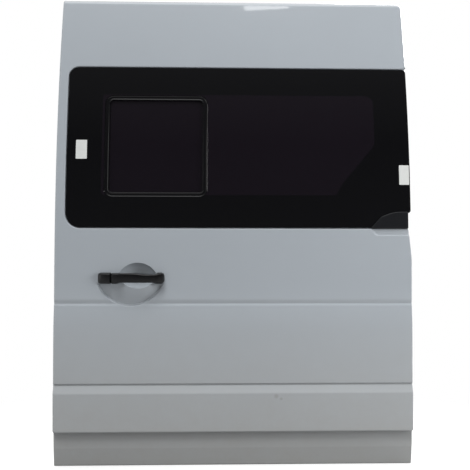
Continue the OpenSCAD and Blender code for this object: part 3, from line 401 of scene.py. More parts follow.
# Stiffening beads of the inner structure, each a box and its corner radius
BEADS = [((240, 142, 1010, 180), 15), ((948, 262, 1000, 420), 22), ((180, 1268, 930, 1330), 28),
         ((120, 655, 560, 690), 16), ((640, 655, 900, 690), 16), ((1012, 850, 1048, 1180), 17)]


def inner_y(x, z):
    """Inner structure with its stiffening beads, pressed towards the skin."""
    y = bend_y(z, INNER_D)
    for box, r in BEADS:
        y = y - 5.0 * ease((depth_inside(x, z, box, (r,) * 4) + 1) / 8)
    return y


# Meshes

def place(points):
    """Millimetres in the door's frame as metres from the origin of the part."""
    return (np.asarray(points, float) - PAD) * 0.001


def linked(name, data):
    """A new object in the scene for a mesh, a lamp or a camera."""
    obj = bpy.data.objects.new(name, data)
    bpy.context.scene.collection.objects.link(obj)
    return obj


def smoothed(mesh, sharp=SHARP_FROM):
    """Smooth shading, broken where faces meet at more than an angle."""
    mesh.polygons.foreach_set("use_smooth", [True] * len(mesh.polygons))
    mesh.set_sharp_from_angle(angle=math.radians(sharp))


def mesh_object(name, points, faces, materials, normals=None, sharp=180, slots=None):
    """Object with a smooth mesh given in millimetres. slots numbers the material of each face."""
    mesh = bpy.data.meshes.new(name)
    mesh.from_pydata(place(points).tolist(), [], [tuple(int(i) for i in f) for f in faces])
    for material in materials if isinstance(materials, (list, tuple)) else [materials]:
        mesh.materials.append(material)
    smoothed(mesh, sharp)
    if slots is not None:
        mesh.polygons.foreach_set("material_index", [int(i) for i in slots])
    if normals is not None:
        mesh.normals_split_custom_set_from_vertices([tuple(n) for n in normals])
    mesh.update()
    return linked(name, mesh)


def keep(obj, body, slot, *nodes):
    """Ties a piece to its body and hides the frame nodes that it stands for; slot is not used."""
    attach(obj, body)
    if nodes:
        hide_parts(*nodes)
    return obj


def face_normals(points, tris):
    """Normals of triangles, twice as long as their areas."""
    a, b, c = (points[tris[:, i]] for i in range(3))
    return np.cross(b - a, c - a)


def vertex_normals(points, tris):
    """Unit normals of points, from the triangles round them."""
    total = np.zeros_like(points)
    n = face_normals(points, tris)
    for i in range(3):
        np.add.at(total, tris[:, i], n)
    return total / np.maximum(np.linalg.norm(total, axis=1, keepdims=True), 1e-12)


class Sheet:
    """A pressed sheet: a depth over (x, z), with rolled and turned edges, made thick at the end."""

    def __init__(self, depth, face):
        self.depth, self.face = depth, face
        self.flat, self.edges, self.loops = [], [], []

    def add_line(self, points, closed=True):
        """Adds a line that triangles don't cross, and returns the numbers of its points."""
        first = len(self.flat)
        self.flat += [tuple(p) for p in points]
        numbers = list(range(first, first + len(points)))
        pairs = zip(numbers, numbers[1:] + numbers[:1]) if closed else zip(numbers, numbers[1:])
        self.edges += list(pairs)
        return numbers

    def add_stretches(self, points, kept):
        """Adds the stretches of a closed line whose points are kept."""
        index = np.cumsum(kept) - 1 + len(self.flat)
        self.flat += [tuple(p) for p in points[kept]]
        for i in range(len(points)):
            j = (i + 1) % len(points)
            if kept[i] and kept[j]:
                self.edges.append((int(index[i]), int(index[j])))

    def add_inner_line(self, points, border):
        """Adds what lies inside a border, by more than 1.5 mm, of a closed line."""
        self.add_stretches(points, inside(points, moved_loop(border, 1.5)))

    def triangulate(self, border, holes, grid, clear):
        """Fills the border, without its holes, through the lines and the lattice points clear of them."""
        tree = kdtree.KDTree(len(self.flat))
        for i, (x, z) in enumerate(self.flat):
            tree.insert((x, z, 0), i)
        tree.balance()
        grid = grid[inside(grid, border)]
        for hole in holes:
            grid = grid[~inside(grid, hole)]
        free = [p for p in grid if tree.find((p[0], p[1], 0))[2] > clear]
        coords = [Vector(p) for p in self.flat] + [Vector(p) for p in free]
        out = delaunay_2d_cdt(coords, self.edges, [], 0, 1e-4)
        flat = np.array([tuple(v) for v in out[0]])
        tris = np.array([f for f in out[2] if len(f) == 3])
        middle = flat[tris].mean(1)
        used = inside(middle, border)
        for hole in holes:
            used &= ~inside(middle, hole)
        tris = tris[used]
        self.number = {}
        for new, olds in enumerate(out[3]):
            for old in olds:
                self.number[old] = new
        x, z = flat[:, 0], flat[:, 1]
        y, h = self.depth(x, z), 0.25
        slope_x = (self.depth(x + h, z) - self.depth(x - h, z)) / (2 * h)
        slope_z = (self.depth(x, z + h) - self.depth(x, z - h)) / (2 * h)
        normals = np.stack([-slope_x, np.ones_like(x), -slope_z], 1) * self.face
        self.points = np.stack([x, y, z], 1)
        self.normals = normals / np.linalg.norm(normals, axis=1, keepdims=True)
        self.own = np.ones(len(flat), bool)
        facing = face_normals(self.points, tris)[:, 1] * self.face
        tris[facing < 0] = tris[facing < 0][:, ::-1]
        self.tris = tris

    def turn_edge(self, numbers, outer, roll, ends, steps=5, facing_out=True):
        """Rolls the edge from a line of points to an outer line and turns it back to the depths in ends.

        The roll is a conic whose fullness of 0.72 is close to a quarter circle's."""
        ids = np.array([self.number[i] for i in numbers])
        start = self.points[ids]
        n = self.normals[ids]
        slope_x, slope_z = -n[:, 0] / n[:, 1], -n[:, 2] / n[:, 1]
        dx, dz = outer[:, 0] - start[:, 0], outer[:, 1] - start[:, 2]
        y1 = start[:, 1] + slope_x * dx + slope_z * dz
        corner = np.stack([outer[:, 0], y1, outer[:, 1]], 1)
        back = corner.copy()
        back[:, 1] -= self.face * roll
        lines, fullness = [], 0.72
        for k in range(1, steps + 1):
            u = k / steps
            a, b, c = (1 - u) ** 2, 2 * fullness * u * (1 - u), u * u
            lines.append((a * start + b * corner + c * back) / (a + b + c))
        for share in (0.5, 1.0):
            line = back.copy()
            line[:, 1] = back[:, 1] + (ends - back[:, 1]) * share
            lines.append(line)
        before, count = ids, len(ids)
        for line in lines:
            first = len(self.points)
            now = np.arange(first, first + count)
            self.points = np.concatenate([self.points, line])
            self.normals = np.concatenate([self.normals, np.zeros((count, 3))])
            self.own = np.concatenate([self.own, np.zeros(count, bool)])
            a, b, c, d = before, np.roll(before, -1), np.roll(now, -1), now
            quads = np.concatenate([np.stack([a, b, c], 1), np.stack([a, c, d], 1)])
            if facing_out == (self.face == OUT):
                quads = quads[:, ::-1]
            self.tris = np.concatenate([self.tris, quads])
            before = now

    def thick(self, t):
        """Points, triangles and normals of the sheet with thickness t away from its face."""
        worked_out = vertex_normals(self.points, self.tris)
        front_n = np.where(self.own[:, None], self.normals, worked_out)
        lost = np.linalg.norm(front_n, axis=1) < 0.5
        front_n[lost] = (0, self.face, 0)
        count = len(self.points)
        back = self.points - front_n * t
        directed = np.concatenate([self.tris[:, [0, 1]], self.tris[:, [1, 2]], self.tris[:, [2, 0]]])
        known = {(int(a), int(b)) for a, b in directed}
        rim = np.array([(a, b) for a, b in known if (b, a) not in known], int).reshape(-1, 2)
        a, b = rim[:, 0], rim[:, 1]
        side = np.cross(self.points[b] - self.points[a], front_n[a])
        side /= np.maximum(np.linalg.norm(side, axis=1, keepdims=True), 1e-9)
        corners = np.concatenate([self.points[a], self.points[b], back[b], back[a]])
        m, first = len(rim), 2 * count
        i = np.arange(m) + first
        rim_tris = np.concatenate([np.stack([i + m, i, i + 3 * m], 1),
                                   np.stack([i + m, i + 3 * m, i + 2 * m], 1)])
        points = np.concatenate([self.points, back, corners])
        normals = np.concatenate([front_n, -front_n, np.tile(side, (4, 1))])
        tris = np.concatenate([self.tris, self.tris[:, ::-1] + count, rim_tris])
        return used_only(points, tris, normals)

    def piece(self, name, t, material, slot, *nodes):
        """Makes the sheet a piece of the door, with a thickness."""
        points, tris, normals = self.thick(t)
        return keep(mesh_object(name, points, tris, material, normals), "door", slot, *nodes)


def used_only(points, tris, normals):
    """Leaves out the points that no triangle uses, and flat triangles."""
    area = np.linalg.norm(face_normals(points, tris), axis=1)
    tris = tris[area > 1e-7]
    used = np.unique(tris)
    index = np.full(len(points), -1)
    index[used] = np.arange(len(used))
    return points[used], index[tris], normals[used]


def round_section(profile, corners_at, step, n):
    """Tube whose section is (inset, depth) pairs, swept round a line that corners_at(inset) gives."""
    _, counts = ring(corners_at(0.0), step, n)
    loops = []
    for inset, depth in profile:
        flat, _ = ring(corners_at(inset), step, n, counts)
        loops.append(np.stack([flat[:, 0], bend_y(flat[:, 1], depth), flat[:, 1]], 1))
    return np.concatenate(loops), banded(len(loops), len(loops[0]), len(loops))


def banded(rows, count, bands):
    """Quads of the bands between closed rows of points, where the row after the last is the first."""
    return [(i * count + k, i * count + (k + 1) % count, (i + 1) % rows * count + (k + 1) % count,
             (i + 1) % rows * count + k) for i in range(bands) for k in range(count)]


def lofted(sections):
    """Closed body through sections of equal count, with both ends shut."""
    rows, count = len(sections), len(sections[0])
    faces = banded(rows, count, rows - 1)
    faces.append(tuple(range(count))[::-1])
    faces.append(tuple((rows - 1) * count + k for k in range(count)))
    return np.concatenate(sections), faces


def outwards(obj):
    """Turns the faces of a closed piece outwards."""
    work = bmesh.new()
    work.from_mesh(obj.data)
    bmesh.ops.recalc_face_normals(work, faces=work.faces)
    work.to_mesh(obj.data)
    work.free()
    return obj


def dressed(name, node, material, width, segments=2):
    """Copy of a frame node with softened edges."""
    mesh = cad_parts[node].data.copy()
    mesh.name = name
    mesh.materials.clear()
    mesh.materials.append(material)
    work = bmesh.new()
    work.from_mesh(mesh)
    bmesh.ops.remove_doubles(work, verts=work.verts, dist=0.00002)
    bmesh.ops.dissolve_limit(work, angle_limit=math.radians(2), verts=work.verts, edges=work.edges)
    work.to_mesh(mesh)
    work.free()
    obj = linked(name, mesh)
    bevel = obj.modifiers.new("edges", "BEVEL")
    bevel.width, bevel.segments, bevel.limit_method = width * 0.001, segments, "ANGLE"
    bevel.angle_limit = math.radians(BEVEL_FROM)
    bevel.use_clamp_overlap = True
    return plain(obj)


def dress(name, node, material, slot, width, segments=2):
    """Keeps a softened copy of a frame node as a piece of the door."""
    return keep(dressed(name, node, material, width, segments), "door", slot, node)


def plain(obj):
    """Turns what an object's modifiers make into its own, smoothed mesh."""
    bpy.context.view_layer.update()
    result = bpy.data.meshes.new_from_object(obj.evaluated_get(bpy.context.evaluated_depsgraph_get()))
    obj.modifiers.clear()
    obj.data = result
    smoothed(result)
    return obj


# Materials

def add(tree, kind, inputs=None, **values):
    """Adds a node with its settings, values and links. A node given as a value links by its first output."""
    node = tree.nodes.new(kind)
    for key, value in values.items():
        setattr(node, key, value)
    for key, value in (inputs or {}).items():
        if isinstance(value, bpy.types.Node):
            value = next(output for output in value.outputs if output.enabled)
        if isinstance(value, bpy.types.NodeSocket):
            tree.links.new(value, node.inputs[key])
        else:
            node.inputs[key].default_value = value
    return node


def emptied(block):
    """Node tree of a material or a world, with no nodes in it."""
    block.use_nodes = True
    block.node_tree.nodes.clear()
    return block.node_tree


def finish(name, colour, rough, metallic=0.0, coat=0.0, coat_rough=0.03, mottle=(120, 0.05), spread=0.06,
           grain=(), low_film=None, ior=1.5, transmission=0.0, streak=None, smudges=()):
    """Procedural finish. In mm: mottle is (size, share), grain is (size, height) pairs, and streak is
    (length, width, share). In metres: low_film is (colour, amount, low, high), a film mixed into the colour
    and added to the roughness, heaviest at low and gone at high, and smudges are (place, radius)."""
    if name in bpy.data.materials:
        return bpy.data.materials[name]
    material = bpy.data.materials.new(name)
    tree = emptied(material)
    coords = add(tree, "ShaderNodeTexCoord").outputs["Object"]
    size, share = mottle
    cloud = add(tree, "ShaderNodeTexNoise", {"Vector": coords, "Scale": 1000 / size, "Detail": 4.0,
                                             "Roughness": 0.6})
    value = add(tree, "ShaderNodeMapRange", {"Value": cloud, "From Min": 0.3, "From Max": 0.7,
                                             "To Min": 1 - share, "To Max": 1 + share})
    tint = add(tree, "ShaderNodeHueSaturation", {"Value": value, "Color": tuple(colour)})
    fine = add(tree, "ShaderNodeTexNoise", {"Vector": coords, "Scale": 9000 / size, "Detail": 3.0})
    dull = add(tree, "ShaderNodeMapRange", {"Value": fine, "From Min": 0.3, "From Max": 0.7,
                                            "To Min": max(rough - spread, 0.02), "To Max": rough + spread})
    if streak:
        length, width, share = streak
        stretched = add(tree, "ShaderNodeMapping", {"Vector": coords,
                                                    "Scale": (1000 / length, 1000 / width, 1000 / width)})
        lines = add(tree, "ShaderNodeTexNoise", {"Vector": stretched, "Scale": 1.0, "Detail": 2.0})
        level = add(tree, "ShaderNodeMapRange", {"Value": lines, "From Min": 0.35, "From Max": 0.65,
                                                 "To Min": 1 - share, "To Max": 1 + share})
        tint = add(tree, "ShaderNodeHueSaturation", {"Value": level, "Color": tint})
    # A film of its own colour, heaviest low down and fading out upwards, is mixed into the colour and added
    # to the roughness
    if low_film:
        film_colour, amount, low, high = low_film
        place_z = add(tree, "ShaderNodeSeparateXYZ", {"Vector": coords}).outputs["Z"]
        height = add(tree, "ShaderNodeMapRange", {"Value": place_z, "From Min": low, "From Max": high,
                                                  "To Min": amount, "To Max": 0.0})
        patch = add(tree, "ShaderNodeTexNoise", {"Vector": coords, "Scale": 22.0, "Detail": 6.0,
                                                 "Roughness": 0.7})
        patch = add(tree, "ShaderNodeMapRange", {"Value": patch, "From Min": 0.3, "From Max": 0.7,
                                                 "To Min": 0.44, "To Max": 0.56})
        film = add(tree, "ShaderNodeMath", {0: height, 1: patch}, operation="MULTIPLY")
        tint = add(tree, "ShaderNodeMix", {"Factor": film, "A": tint, "B": film_colour}, data_type="RGBA")
        dull = add(tree, "ShaderNodeMath", {0: dull, 1: film}, operation="ADD")
    for spot, radius in smudges:
        away = add(tree, "ShaderNodeVectorMath", {0: coords, 1: spot}, operation="DISTANCE")
        mark = add(tree, "ShaderNodeMapRange", {"Value": away, "From Min": radius * 0.3, "From Max": radius,
                                                "To Min": 0.35, "To Max": 0.0})
        tint = add(tree, "ShaderNodeMix", {"Factor": mark, "A": tint, "B": GRIME}, data_type="RGBA")
    shader = {"Base Color": tint, "Roughness": dull, "Metallic": metallic, "IOR": ior,
              "Coat Weight": coat, "Coat Roughness": coat_rough, "Transmission Weight": transmission}
    for grain_size, grain_height in grain:
        bumps = add(tree, "ShaderNodeTexNoise", {"Vector": coords, "Scale": 1000 / grain_size, "Detail": 1.5})
        inputs = {"Height": bumps, "Distance": grain_height * 0.001, "Strength": 1.0}
        if "Normal" in shader:
            inputs["Normal"] = shader["Normal"]
        shader["Normal"] = add(tree, "ShaderNodeBump", inputs)
    add(tree, "ShaderNodeOutputMaterial", {"Surface": add(tree, "ShaderNodeBsdfPrincipled", shader)})
    return material


LOW_FILM, GRIME = linear("#8A857B"), linear("#6B6863")
SMUDGES = (((-0.33, -0.087, -0.508), 0.009), ((-0.315, -0.087, -0.516), 0.006))


def body_paint():
    # Solid colour sprayed in two layers under a clear coat: a sharp reflection with a faint ripple
    s = settings()
    # The film mixed in from the foot up to about the shoulder crease makes the skin darker and warmer towards
    # the bottom; the two smudges are small dirt marks on the bulge
    return finish("sprayed_gloss_paint", s.paint, 0.34, coat=1.0, coat_rough=0.04, mottle=(340, 0.012),
                  spread=0.03, grain=((s.peel * 1000, 0.008), (0.7, 0.0012)), low_film=(LOW_FILM, 1.0, -0.72, -0.2),
                  smudges=SMUDGES)


def inner_paint():
    # The same paint misted on over primer inside the door: thinner, duller, with dust on it
    return finish("sprayed_inner_paint", settings().inner_paint, 0.46, coat=0.25, coat_rough=0.25,
                  mottle=(160, 0.03), grain=((3.0, 0.02), (0.8, 0.004)), low_film=(LOW_FILM, 0.5, -0.72, -0.3))


def privacy_glass():
    # Body-tinted float glass: smooth, dark, slightly violet, lets a little light through
    return finish("tinted_float_glass", settings().glass, 0.03, mottle=(400, 0.04), spread=0.01, ior=1.52,
                  transmission=0.12, grain=((260, 0.02),))


def frit():
    # Black ceramic enamel fired on the back of the glass and seen through it: as glossy as glass
    return finish("fired_black_enamel", settings().frit, 0.04, mottle=(300, 0.05), spread=0.01, ior=1.52,
                  grain=((260, 0.02),))


def satin_plastic():
    # Moulded ABS with a fine spark-eroded grain: satin, with a soft highlight on its edges
    return finish("moulded_satin_abs", settings().plastic, 0.36, mottle=(60, 0.05),
                  grain=((1.0, 0.012), (0.35, 0.004)))


def gloss_plastic():
    # The same ABS moulded against a polished tool: nearly as black and glossy as the glass it frames
    return finish("moulded_gloss_abs", linear("#09090B"), 0.2, mottle=(60, 0.05), spread=0.03,
                  grain=((4.0, 0.004),))


def grip_plastic():
    # Glass-filled nylon, moulded smooth and polished by hands
    return finish("moulded_nylon", linear("#08080A"), 0.3, mottle=(40, 0.05), spread=0.03,
                  grain=((2.5, 0.003),))


def rubber():
    # Extruded and moulded EPDM: matt, with a grey bloom
    return finish("extruded_epdm", settings().rubber, 0.72, mottle=(30, 0.12), spread=0.08,
                  grain=((1.2, 0.02), (0.4, 0.01)), low_film=(LOW_FILM, 0.2, -0.72, 0.2))


def plated_steel():
    # Pressed steel, zinc plated and passivated: pale, cloudy, with crystals a few millimetres wide
    return finish("zinc_plated_steel", settings().steel, 0.38, metallic=1.0, mottle=(9, 0.1), spread=0.1,
                  grain=((2.0, 0.006),))


def claw_steel():
    # Hardened steel, phosphated dark and oiled
    return finish("phosphated_steel", linear("#5D6062"), 0.42, metallic=1.0, mottle=(6, 0.12),
                  grain=((0.8, 0.006),))


def roller_nylon():
    # Turned nylon tyre, dark and waxy
    return finish("turned_nylon", linear("#3A3C40"), 0.45, mottle=(15, 0.08), grain=((1.5, 0.01),),
                  streak=(3, 0.6, 0.06))


def trim_board():
    # Pressed wood-fibre board with a grained skin: matt, with fibres about a millimetre wide
    return finish("pressed_fibre_board", settings().board, 0.78, mottle=(45, 0.06),
                  grain=((2.2, 0.12), (0.7, 0.05)), streak=(9, 0.9, 0.08))


def paper():
    # Coated paper with nothing printed on it: matt and even, a little below white
    return finish("coated_paper", linear("#C2C4C2"), 0.55, mottle=(12, 0.03), grain=((0.5, 0.01),))


# Pieces

def skin_corners(front, rear, low, top, radii):
    """Corners of the skin's outline, with the notch beside the rail end cap."""
    foot_r, rear_r, front_r = radii
    return [(front, low, foot_r), (rear, low, foot_r), (rear, CAP_Z - NOTCH_L, 200),
            (rear - NOTCH_W, CAP_Z, 60), (rear - NOTCH_W, CAP_Z1 + 2, 3), (rear, CAP_Z1 + 8, 3),
            (rear, top, rear_r), (front, top, front_r)]


def build_skin():
    """Outer skin with its recess, pan, finger bowl and slots, and its edges rolled inwards."""
    edge, low, top = settings().edge_r * 1000, BULGE_Z + FOOT_ROLL, DOOR_H - TOP_ROLL + 0.5
    outer, counts = ring(skin_corners(0, DOOR_W, BULGE_Z, DOOR_H, (9, 15, 6)), 4.0, 6)
    inner, _ = ring(skin_corners(edge, DOOR_W - edge, low, top, (5, 9, 5)), 4.0, 6, counts)
    sheet = Sheet(skin_y, OUT)
    border = sheet.add_line(inner)
    holes = [ring(opening_corners(0), 8.0, 6)[0]]
    # Slots that the claw and the arm of the grip move in
    claw_h, arm_h = CLAW_H / 2 + MOVE_GAP, ARM_H / 2 + ARM_GAP
    claw_box = (CLAW_X - MOVE_GAP, HANDLE_Z - claw_h, CLAW_X + CLAW_W + MOVE_GAP, HANDLE_Z + claw_h)
    arm_box = (PIVOT_X - ARM_W / 2 - ARM_GAP, HANDLE_Z - arm_h,
               PIVOT_X + ARM_W / 2 + MOVE_GAP, HANDLE_Z + arm_h)
    holes += [box_line(box, 0, 1, 3.0, 1)[0] for box in (claw_box, arm_box)]
    for hole in holes:
        sheet.add_line(hole)
    lip = settings().lip_r * 1000
    for s in (-14, -8, -5, -lip, -lip * 0.75, -lip * 0.5, -lip * 0.25, 0, 0.5, 1.05, 1.8, 2.4, 8):
        r = [max(value - s, 1.0) for value in RECESS_RADII]
        line, _ = ring([(RECESS[0] + s, RECESS[1] + s, r[0]), (RECESS[2], RECESS[1] + s, 1),
                        (RECESS[2], RECESS[3] - s, 1), (RECESS[0] + s, RECESS[3] - s, r[3])], 5.0, 12)
        sheet.add_inner_line(line, inner)
    closed, along_rim = bowl_lines()
    for line in closed:
        sheet.add_line(line)
    for line in along_rim:
        sheet.add_line(line, closed=False)
    x0, z0, x1, z1 = BOWL_FIELD
    bowl = lattice(spans((x0, x1, 2.1)), spans((z0, z1, 2.0)))
    x0, z0, x1, z1 = POCKET_FIELD
    pocket = lattice(spans((x0, x1, 3.0)), spans((z0, 700, 2.0), (700, 708, 1.0), (708, z1, 2.0)))
    grid = lattice(spans((8, 60, 8), (60, 1040, 14), (1040, 1088, 8)),
                   spans((113, 120, 2), (120, 216, 12), (216, 254, 1.9), (254, 478, 12), (478, 512, 1.7),
                         (512, 700, 11), (700, 1236, 14), (1236, 1425, 10), (1425, 1446, 3)))
    grid = beyond(beyond(grid, *BOWL_FIELD), *POCKET_FIELD)
    sheet.triangulate(inner, holes, np.concatenate([grid, bowl, pocket]), 1.6)
    way = outer - inner
    way /= np.maximum(np.linalg.norm(way, axis=1, keepdims=True), 1e-9)
    up, down, across = np.maximum(way[:, 1], 0) ** 2, np.maximum(-way[:, 1], 0) ** 2, way[:, 0] ** 2
    roll = up * TOP_ROLL + down * FOOT_ROLL + across * edge
    ends = bend_y(np.minimum(outer[:, 1], DOOR_H - TOP_LINE), EDGE_D * across) + up * TOP_TURN
    sheet.turn_edge(border, outer, roll, ends + down * (STRIP_SETBACK - 0.4 - PANEL_Y))
    sheet.piece("door_skin", SHEET_T, body_paint(), "body_paint", "outer_skin", "handle_bowl")


def build_strip():
    """Strip below the bulge, with turned ends."""
    line = line_of([(STRIP_SETBACK + STRIP_FLANGE, FLOOR_Z - 0.2, 0), (STRIP_SETBACK, FLOOR_Z - 0.2, 4),
                    (STRIP_SETBACK, BULGE_Z - 12, 30), (STRIP_SETBACK + 3, STRIP_FOLD_Z, 24),
                    (STRIP_SETBACK + STRIP_LEAN, 0, 5), (STRIP_SETBACK + STRIP_LEAN + STRIP_FLANGE, 0, 0)])
    r = 3.0
    columns = [(0.0, 12.0), (0.0, 6.0), (0.0, r)]
    columns += [(r - r * math.cos(a), r - r * math.sin(a)) for a in np.radians([22, 45, 67, 90])]
    columns += [(x, 0.0) for x in np.linspace(30, DOOR_W - 30, 24)]
    columns += [(DOOR_W - x, d) for x, d in reversed(columns[:7])]
    points = np.array([[(x, y + d, z) for y, z in line] for x, d in columns])
    rows, count = points.shape[:2]
    tris = []
    for i in range(rows - 1):
        for k in range(count - 1):
            a, b, c, d = i * count + k, i * count + k + 1, (i + 1) * count + k + 1, (i + 1) * count + k
            tris += [(a, b, c), (a, c, d)]
    sheet = Sheet(None, OUT)
    sheet.points, sheet.tris = points.reshape(-1, 3), np.array(tris)
    if face_normals(sheet.points, sheet.tris)[:, 1].sum() > 0:
        sheet.tris = sheet.tris[:, ::-1]
    sheet.normals, sheet.own = np.zeros_like(sheet.points), np.zeros(len(sheet.points), bool)
    sheet.piece("sill_panel", SHEET_T, body_paint(), "body_paint", "sill_strip")


def build_inner_shell():
    """Pressed inner structure with its window opening, beads and turned walls."""
    box, radii = (WALL_INSET, FLOOR_Z, DOOR_W - WALL_INSET, DOOR_H - WALL_INSET), (12, 12, 16, 12)
    outer, counts = ring(rectangle(box, 0, radii), 7.0, 6)
    inner, _ = ring(rectangle(box, WALL_R, radii), 7.0, 6, counts)
    sheet = Sheet(inner_y, IN)
    border = sheet.add_line(inner)
    window, counts = ring(opening_corners(0), 7.0, 8)
    rim, _ = ring(opening_corners(WALL_R), 7.0, 8, counts)
    window_ids = sheet.add_line(rim)
    holes, edges = [rim], []
    low, high = HOLE_Z - HOLE_HALF, HOLE_Z + HOLE_HALF
    access = [((x - HOLE_HALF, low, x + HOLE_HALF, high), HOLE_R, 3) for x in HOLES_X]
    for hole, r, roll in access + [(CUP, CUP_R, 2)]:
        line, counts = box_line(hole, 0, r, 6.0, 4)
        rim, _ = box_line(hole, -roll, r, 6.0, 4, counts)
        holes.append(rim)
        edges.append((sheet.add_line(rim), line))
    for bead, r in BEADS:
        for s in (-1, 1, 3, 5, 7, 9):
            sheet.add_inner_line(box_line(bead, s, r, 7.0, 6)[0], inner)
    sheet.triangulate(inner, holes, lattice(spans((28, 1070, 15)), spans((120, 1440, 14))), 3.0)
    # The wall ends behind the skin, the recess at the rear, the pocket below the cap, and the strip
    x, z = outer[:, 0], outer[:, 1]
    ends = panel_y(z) + WALL_GAP
    recess = (z > RECESS[1]) & (z < RECESS[3]) & (x > DOOR_W / 2)
    ends = np.where(recess, ends + RECESS_D, ends)
    under_cap = (np.abs(z - CAP_Z + POCKET_H / 2) < POCKET_H / 2 + 4) & (x > CAP_X)
    ends = np.where(under_cap & ~recess, ends + POCKET_D, ends)
    ends = np.where(z < FLOOR_Z + 3, STRIP_SETBACK + 2, ends)
    sheet.turn_edge(border, outer, WALL_R, ends, 4)
    sheet.turn_edge(window_ids, window, WALL_R, bend_y(window[:, 1], RECESS_D + 1.8), 4, facing_out=False)
    for ids, line in edges:
        sheet.turn_edge(ids, line, 3.0, bend_y(line[:, 1], INNER_D) - 7, 3, facing_out=False)
    sheet.piece("inner_shell", SHEET_T, inner_paint(), "body_paint", "inner_panel", "window_frame")


def glass_body(name, node, border, holes, split, front, materials):
    """Curved pane between two depths with a rounded edge; split is the line between its two finishes."""
    sheet = Sheet(lambda x, z: bend_y(z, front), OUT)
    sheet.add_line(border)
    for hole in holes:
        sheet.add_line(hole)
        sheet.add_stretches(split, ~inside(split, hole))
    (x0, z0), (x1, z1) = border.min(0), border.max(0)
    sheet.triangulate(border, holes, lattice(spans((x0, x1, 16.0)), spans((z0, z1, 16.0))), 4.0)
    points, tris, normals = sheet.thick(GLASS_T)
    slots = ~inside(points[tris].mean(1)[:, [0, 2]], split) if holes else None
    keep(mesh_object(name, points, tris, materials, normals, slots=slots), "door", "tinted_glass", node)


def build_glass():
    """Bonded glass with its hole for the pane, and the sliding pane."""
    border, _ = ring(rectangle((GLASS_X, GLASS_Z, GLASS_X1, GLASS_Z1), 0, (45, 4, 12, 30)), 7.0, 10)
    cap = moved_loop(ring(cap_corners(), 4.0, 6)[0], -0.4)
    # The outline runs round the rail end cap: up its curved front, along its top, and out to the rear edge
    top = CAP_Z1 - 4
    arch = cap[(cap[:, 0] < CAP_X1 - 14) & (cap[:, 1] > GLASS_Z + 0.5)]
    arch = arch[np.argsort(-arch[:, 0])]
    low = border[~((border[:, 0] > arch[-1, 0] - 2) & (border[:, 1] < CAP_Z1 + 2))]
    last = np.argmin(np.abs(low[:, 0] - (arch[-1, 0] - 6)) + np.abs(low[:, 1] - GLASS_Z))
    corner, _ = ring([(GLASS_X1, top, 8), (GLASS_X1, top + 44, 1), (GLASS_X1 - 60, top + 44, 1),
                      (GLASS_X1 - 60, top, 1)], 200.0, 6)
    border = np.concatenate([low[:last + 1], arch[::-1], corner[:7], low[last + 1:]])
    hole, _ = box_line(PANE, -0.4, PANE_R, 6.0, 10)
    clear, _ = ring(CLEAR, 10.0, 6)
    glass_body("bonded_glass", "window_glass", border, [hole], clear, 0.0, [privacy_glass(), frit()])
    pane, _ = box_line(PANE, FRAME_W - PANE_LAP, PANE_R, 8.0, 8)
    glass_body("vent_pane", "sliding_pane", pane, [], None, PANE_D, [privacy_glass()])


def build_vent_frame():
    """Frame of the sliding pane, the channels that it slides in, and its latch."""
    back = RECESS_D + 1.5
    profile = [(-0.3, back - 1), (-0.3, 2.2), (0.3, 1.2), (1.4, 0.8), (2.5, 1.2), (3.3, 2.2), (5.0, 2.6),
               (10.0, 2.6), (11.4, 2.4), (12.2, 1.6), (13.1, 1.3), (14.0, 1.6), (14.6, 2.6), (14.9, 4.5),
               (14.9, back - 0.6), (14.3, back), (0.5, back)]
    points, faces = round_section(profile, lambda inset: rectangle(PANE, inset, (PANE_R,) * 4), 8.0, 10)
    frame_piece = outwards(mesh_object("vent_frame", points, faces, gloss_plastic(), sharp=50))
    keep(frame_piece, "door", "black_plastic", "pane_frame")
    # Channels seen from inside: foot on the glass, lip behind the pane
    rise, lip_d = FRAME_W - PANE_LAP - 0.3, RAIL_D + RAIL_LIP
    section = [(-RAIL_FOOT + 0.6, GLASS_T + 0.1), (-RAIL_FOOT, GLASS_T + 0.8), (-RAIL_FOOT, RAIL_D + 1.5),
               (-RAIL_FOOT + 1.5, lip_d), (FRAME_W + 1, lip_d), (FRAME_W + 2, lip_d - 1),
               (FRAME_W + 2, RAIL_D + 0.6), (FRAME_W + 1.4, RAIL_D), (rise, RAIL_D), (rise, PANE_D),
               (0, PANE_D), (0, GLASS_T + 0.1)]
    for name, node, edge, way in (("vent_rail_top", "pane_top_rail", PANE[3], -1),
                                  ("vent_rail_low", "pane_bottom_rail", PANE[1], 1)):
        z = np.array([edge + way * u for u, _ in section])
        y = np.array([float(bend_y(edge + way * u, d)) for u, d in section])
        points, faces = lofted([np.stack([np.full(len(z), x), y, z], 1)
                                for x in np.linspace(PANE[0] - 2, RAIL_X1, 40)])
        rail = outwards(mesh_object(name, points, faces, satin_plastic(), sharp=40))
        keep(rail, "door", "black_plastic", node)
    dress("vent_latch", "pane_latch", satin_plastic(), "black_plastic", 1.6, 3)


def build_rail_cap():
    """Moulded cap with rolled edges, a little lower towards the rear."""
    outer, _ = ring(cap_corners(), 3.0, 8)
    inner = moved_loop(outer, 2.8)
    sheet = Sheet(lambda x, z: bend_y(z, -CAP_RISE) + 1.2 * ease((x - CAP_X - 60) / 60), OUT)
    border = sheet.add_line(inner)
    sheet.triangulate(inner, [], lattice(spans((CAP_X, CAP_X1, 5)), spans((CAP_Z, CAP_Z1, 5))), 2.0)
    sheet.turn_edge(border, outer, CAP_RISE, bend_y(outer[:, 1], RECESS_D - 0.2), 5)
    sheet.piece("rail_cap", 2.0, satin_plastic(), "black_plastic", "rail_end_cap")


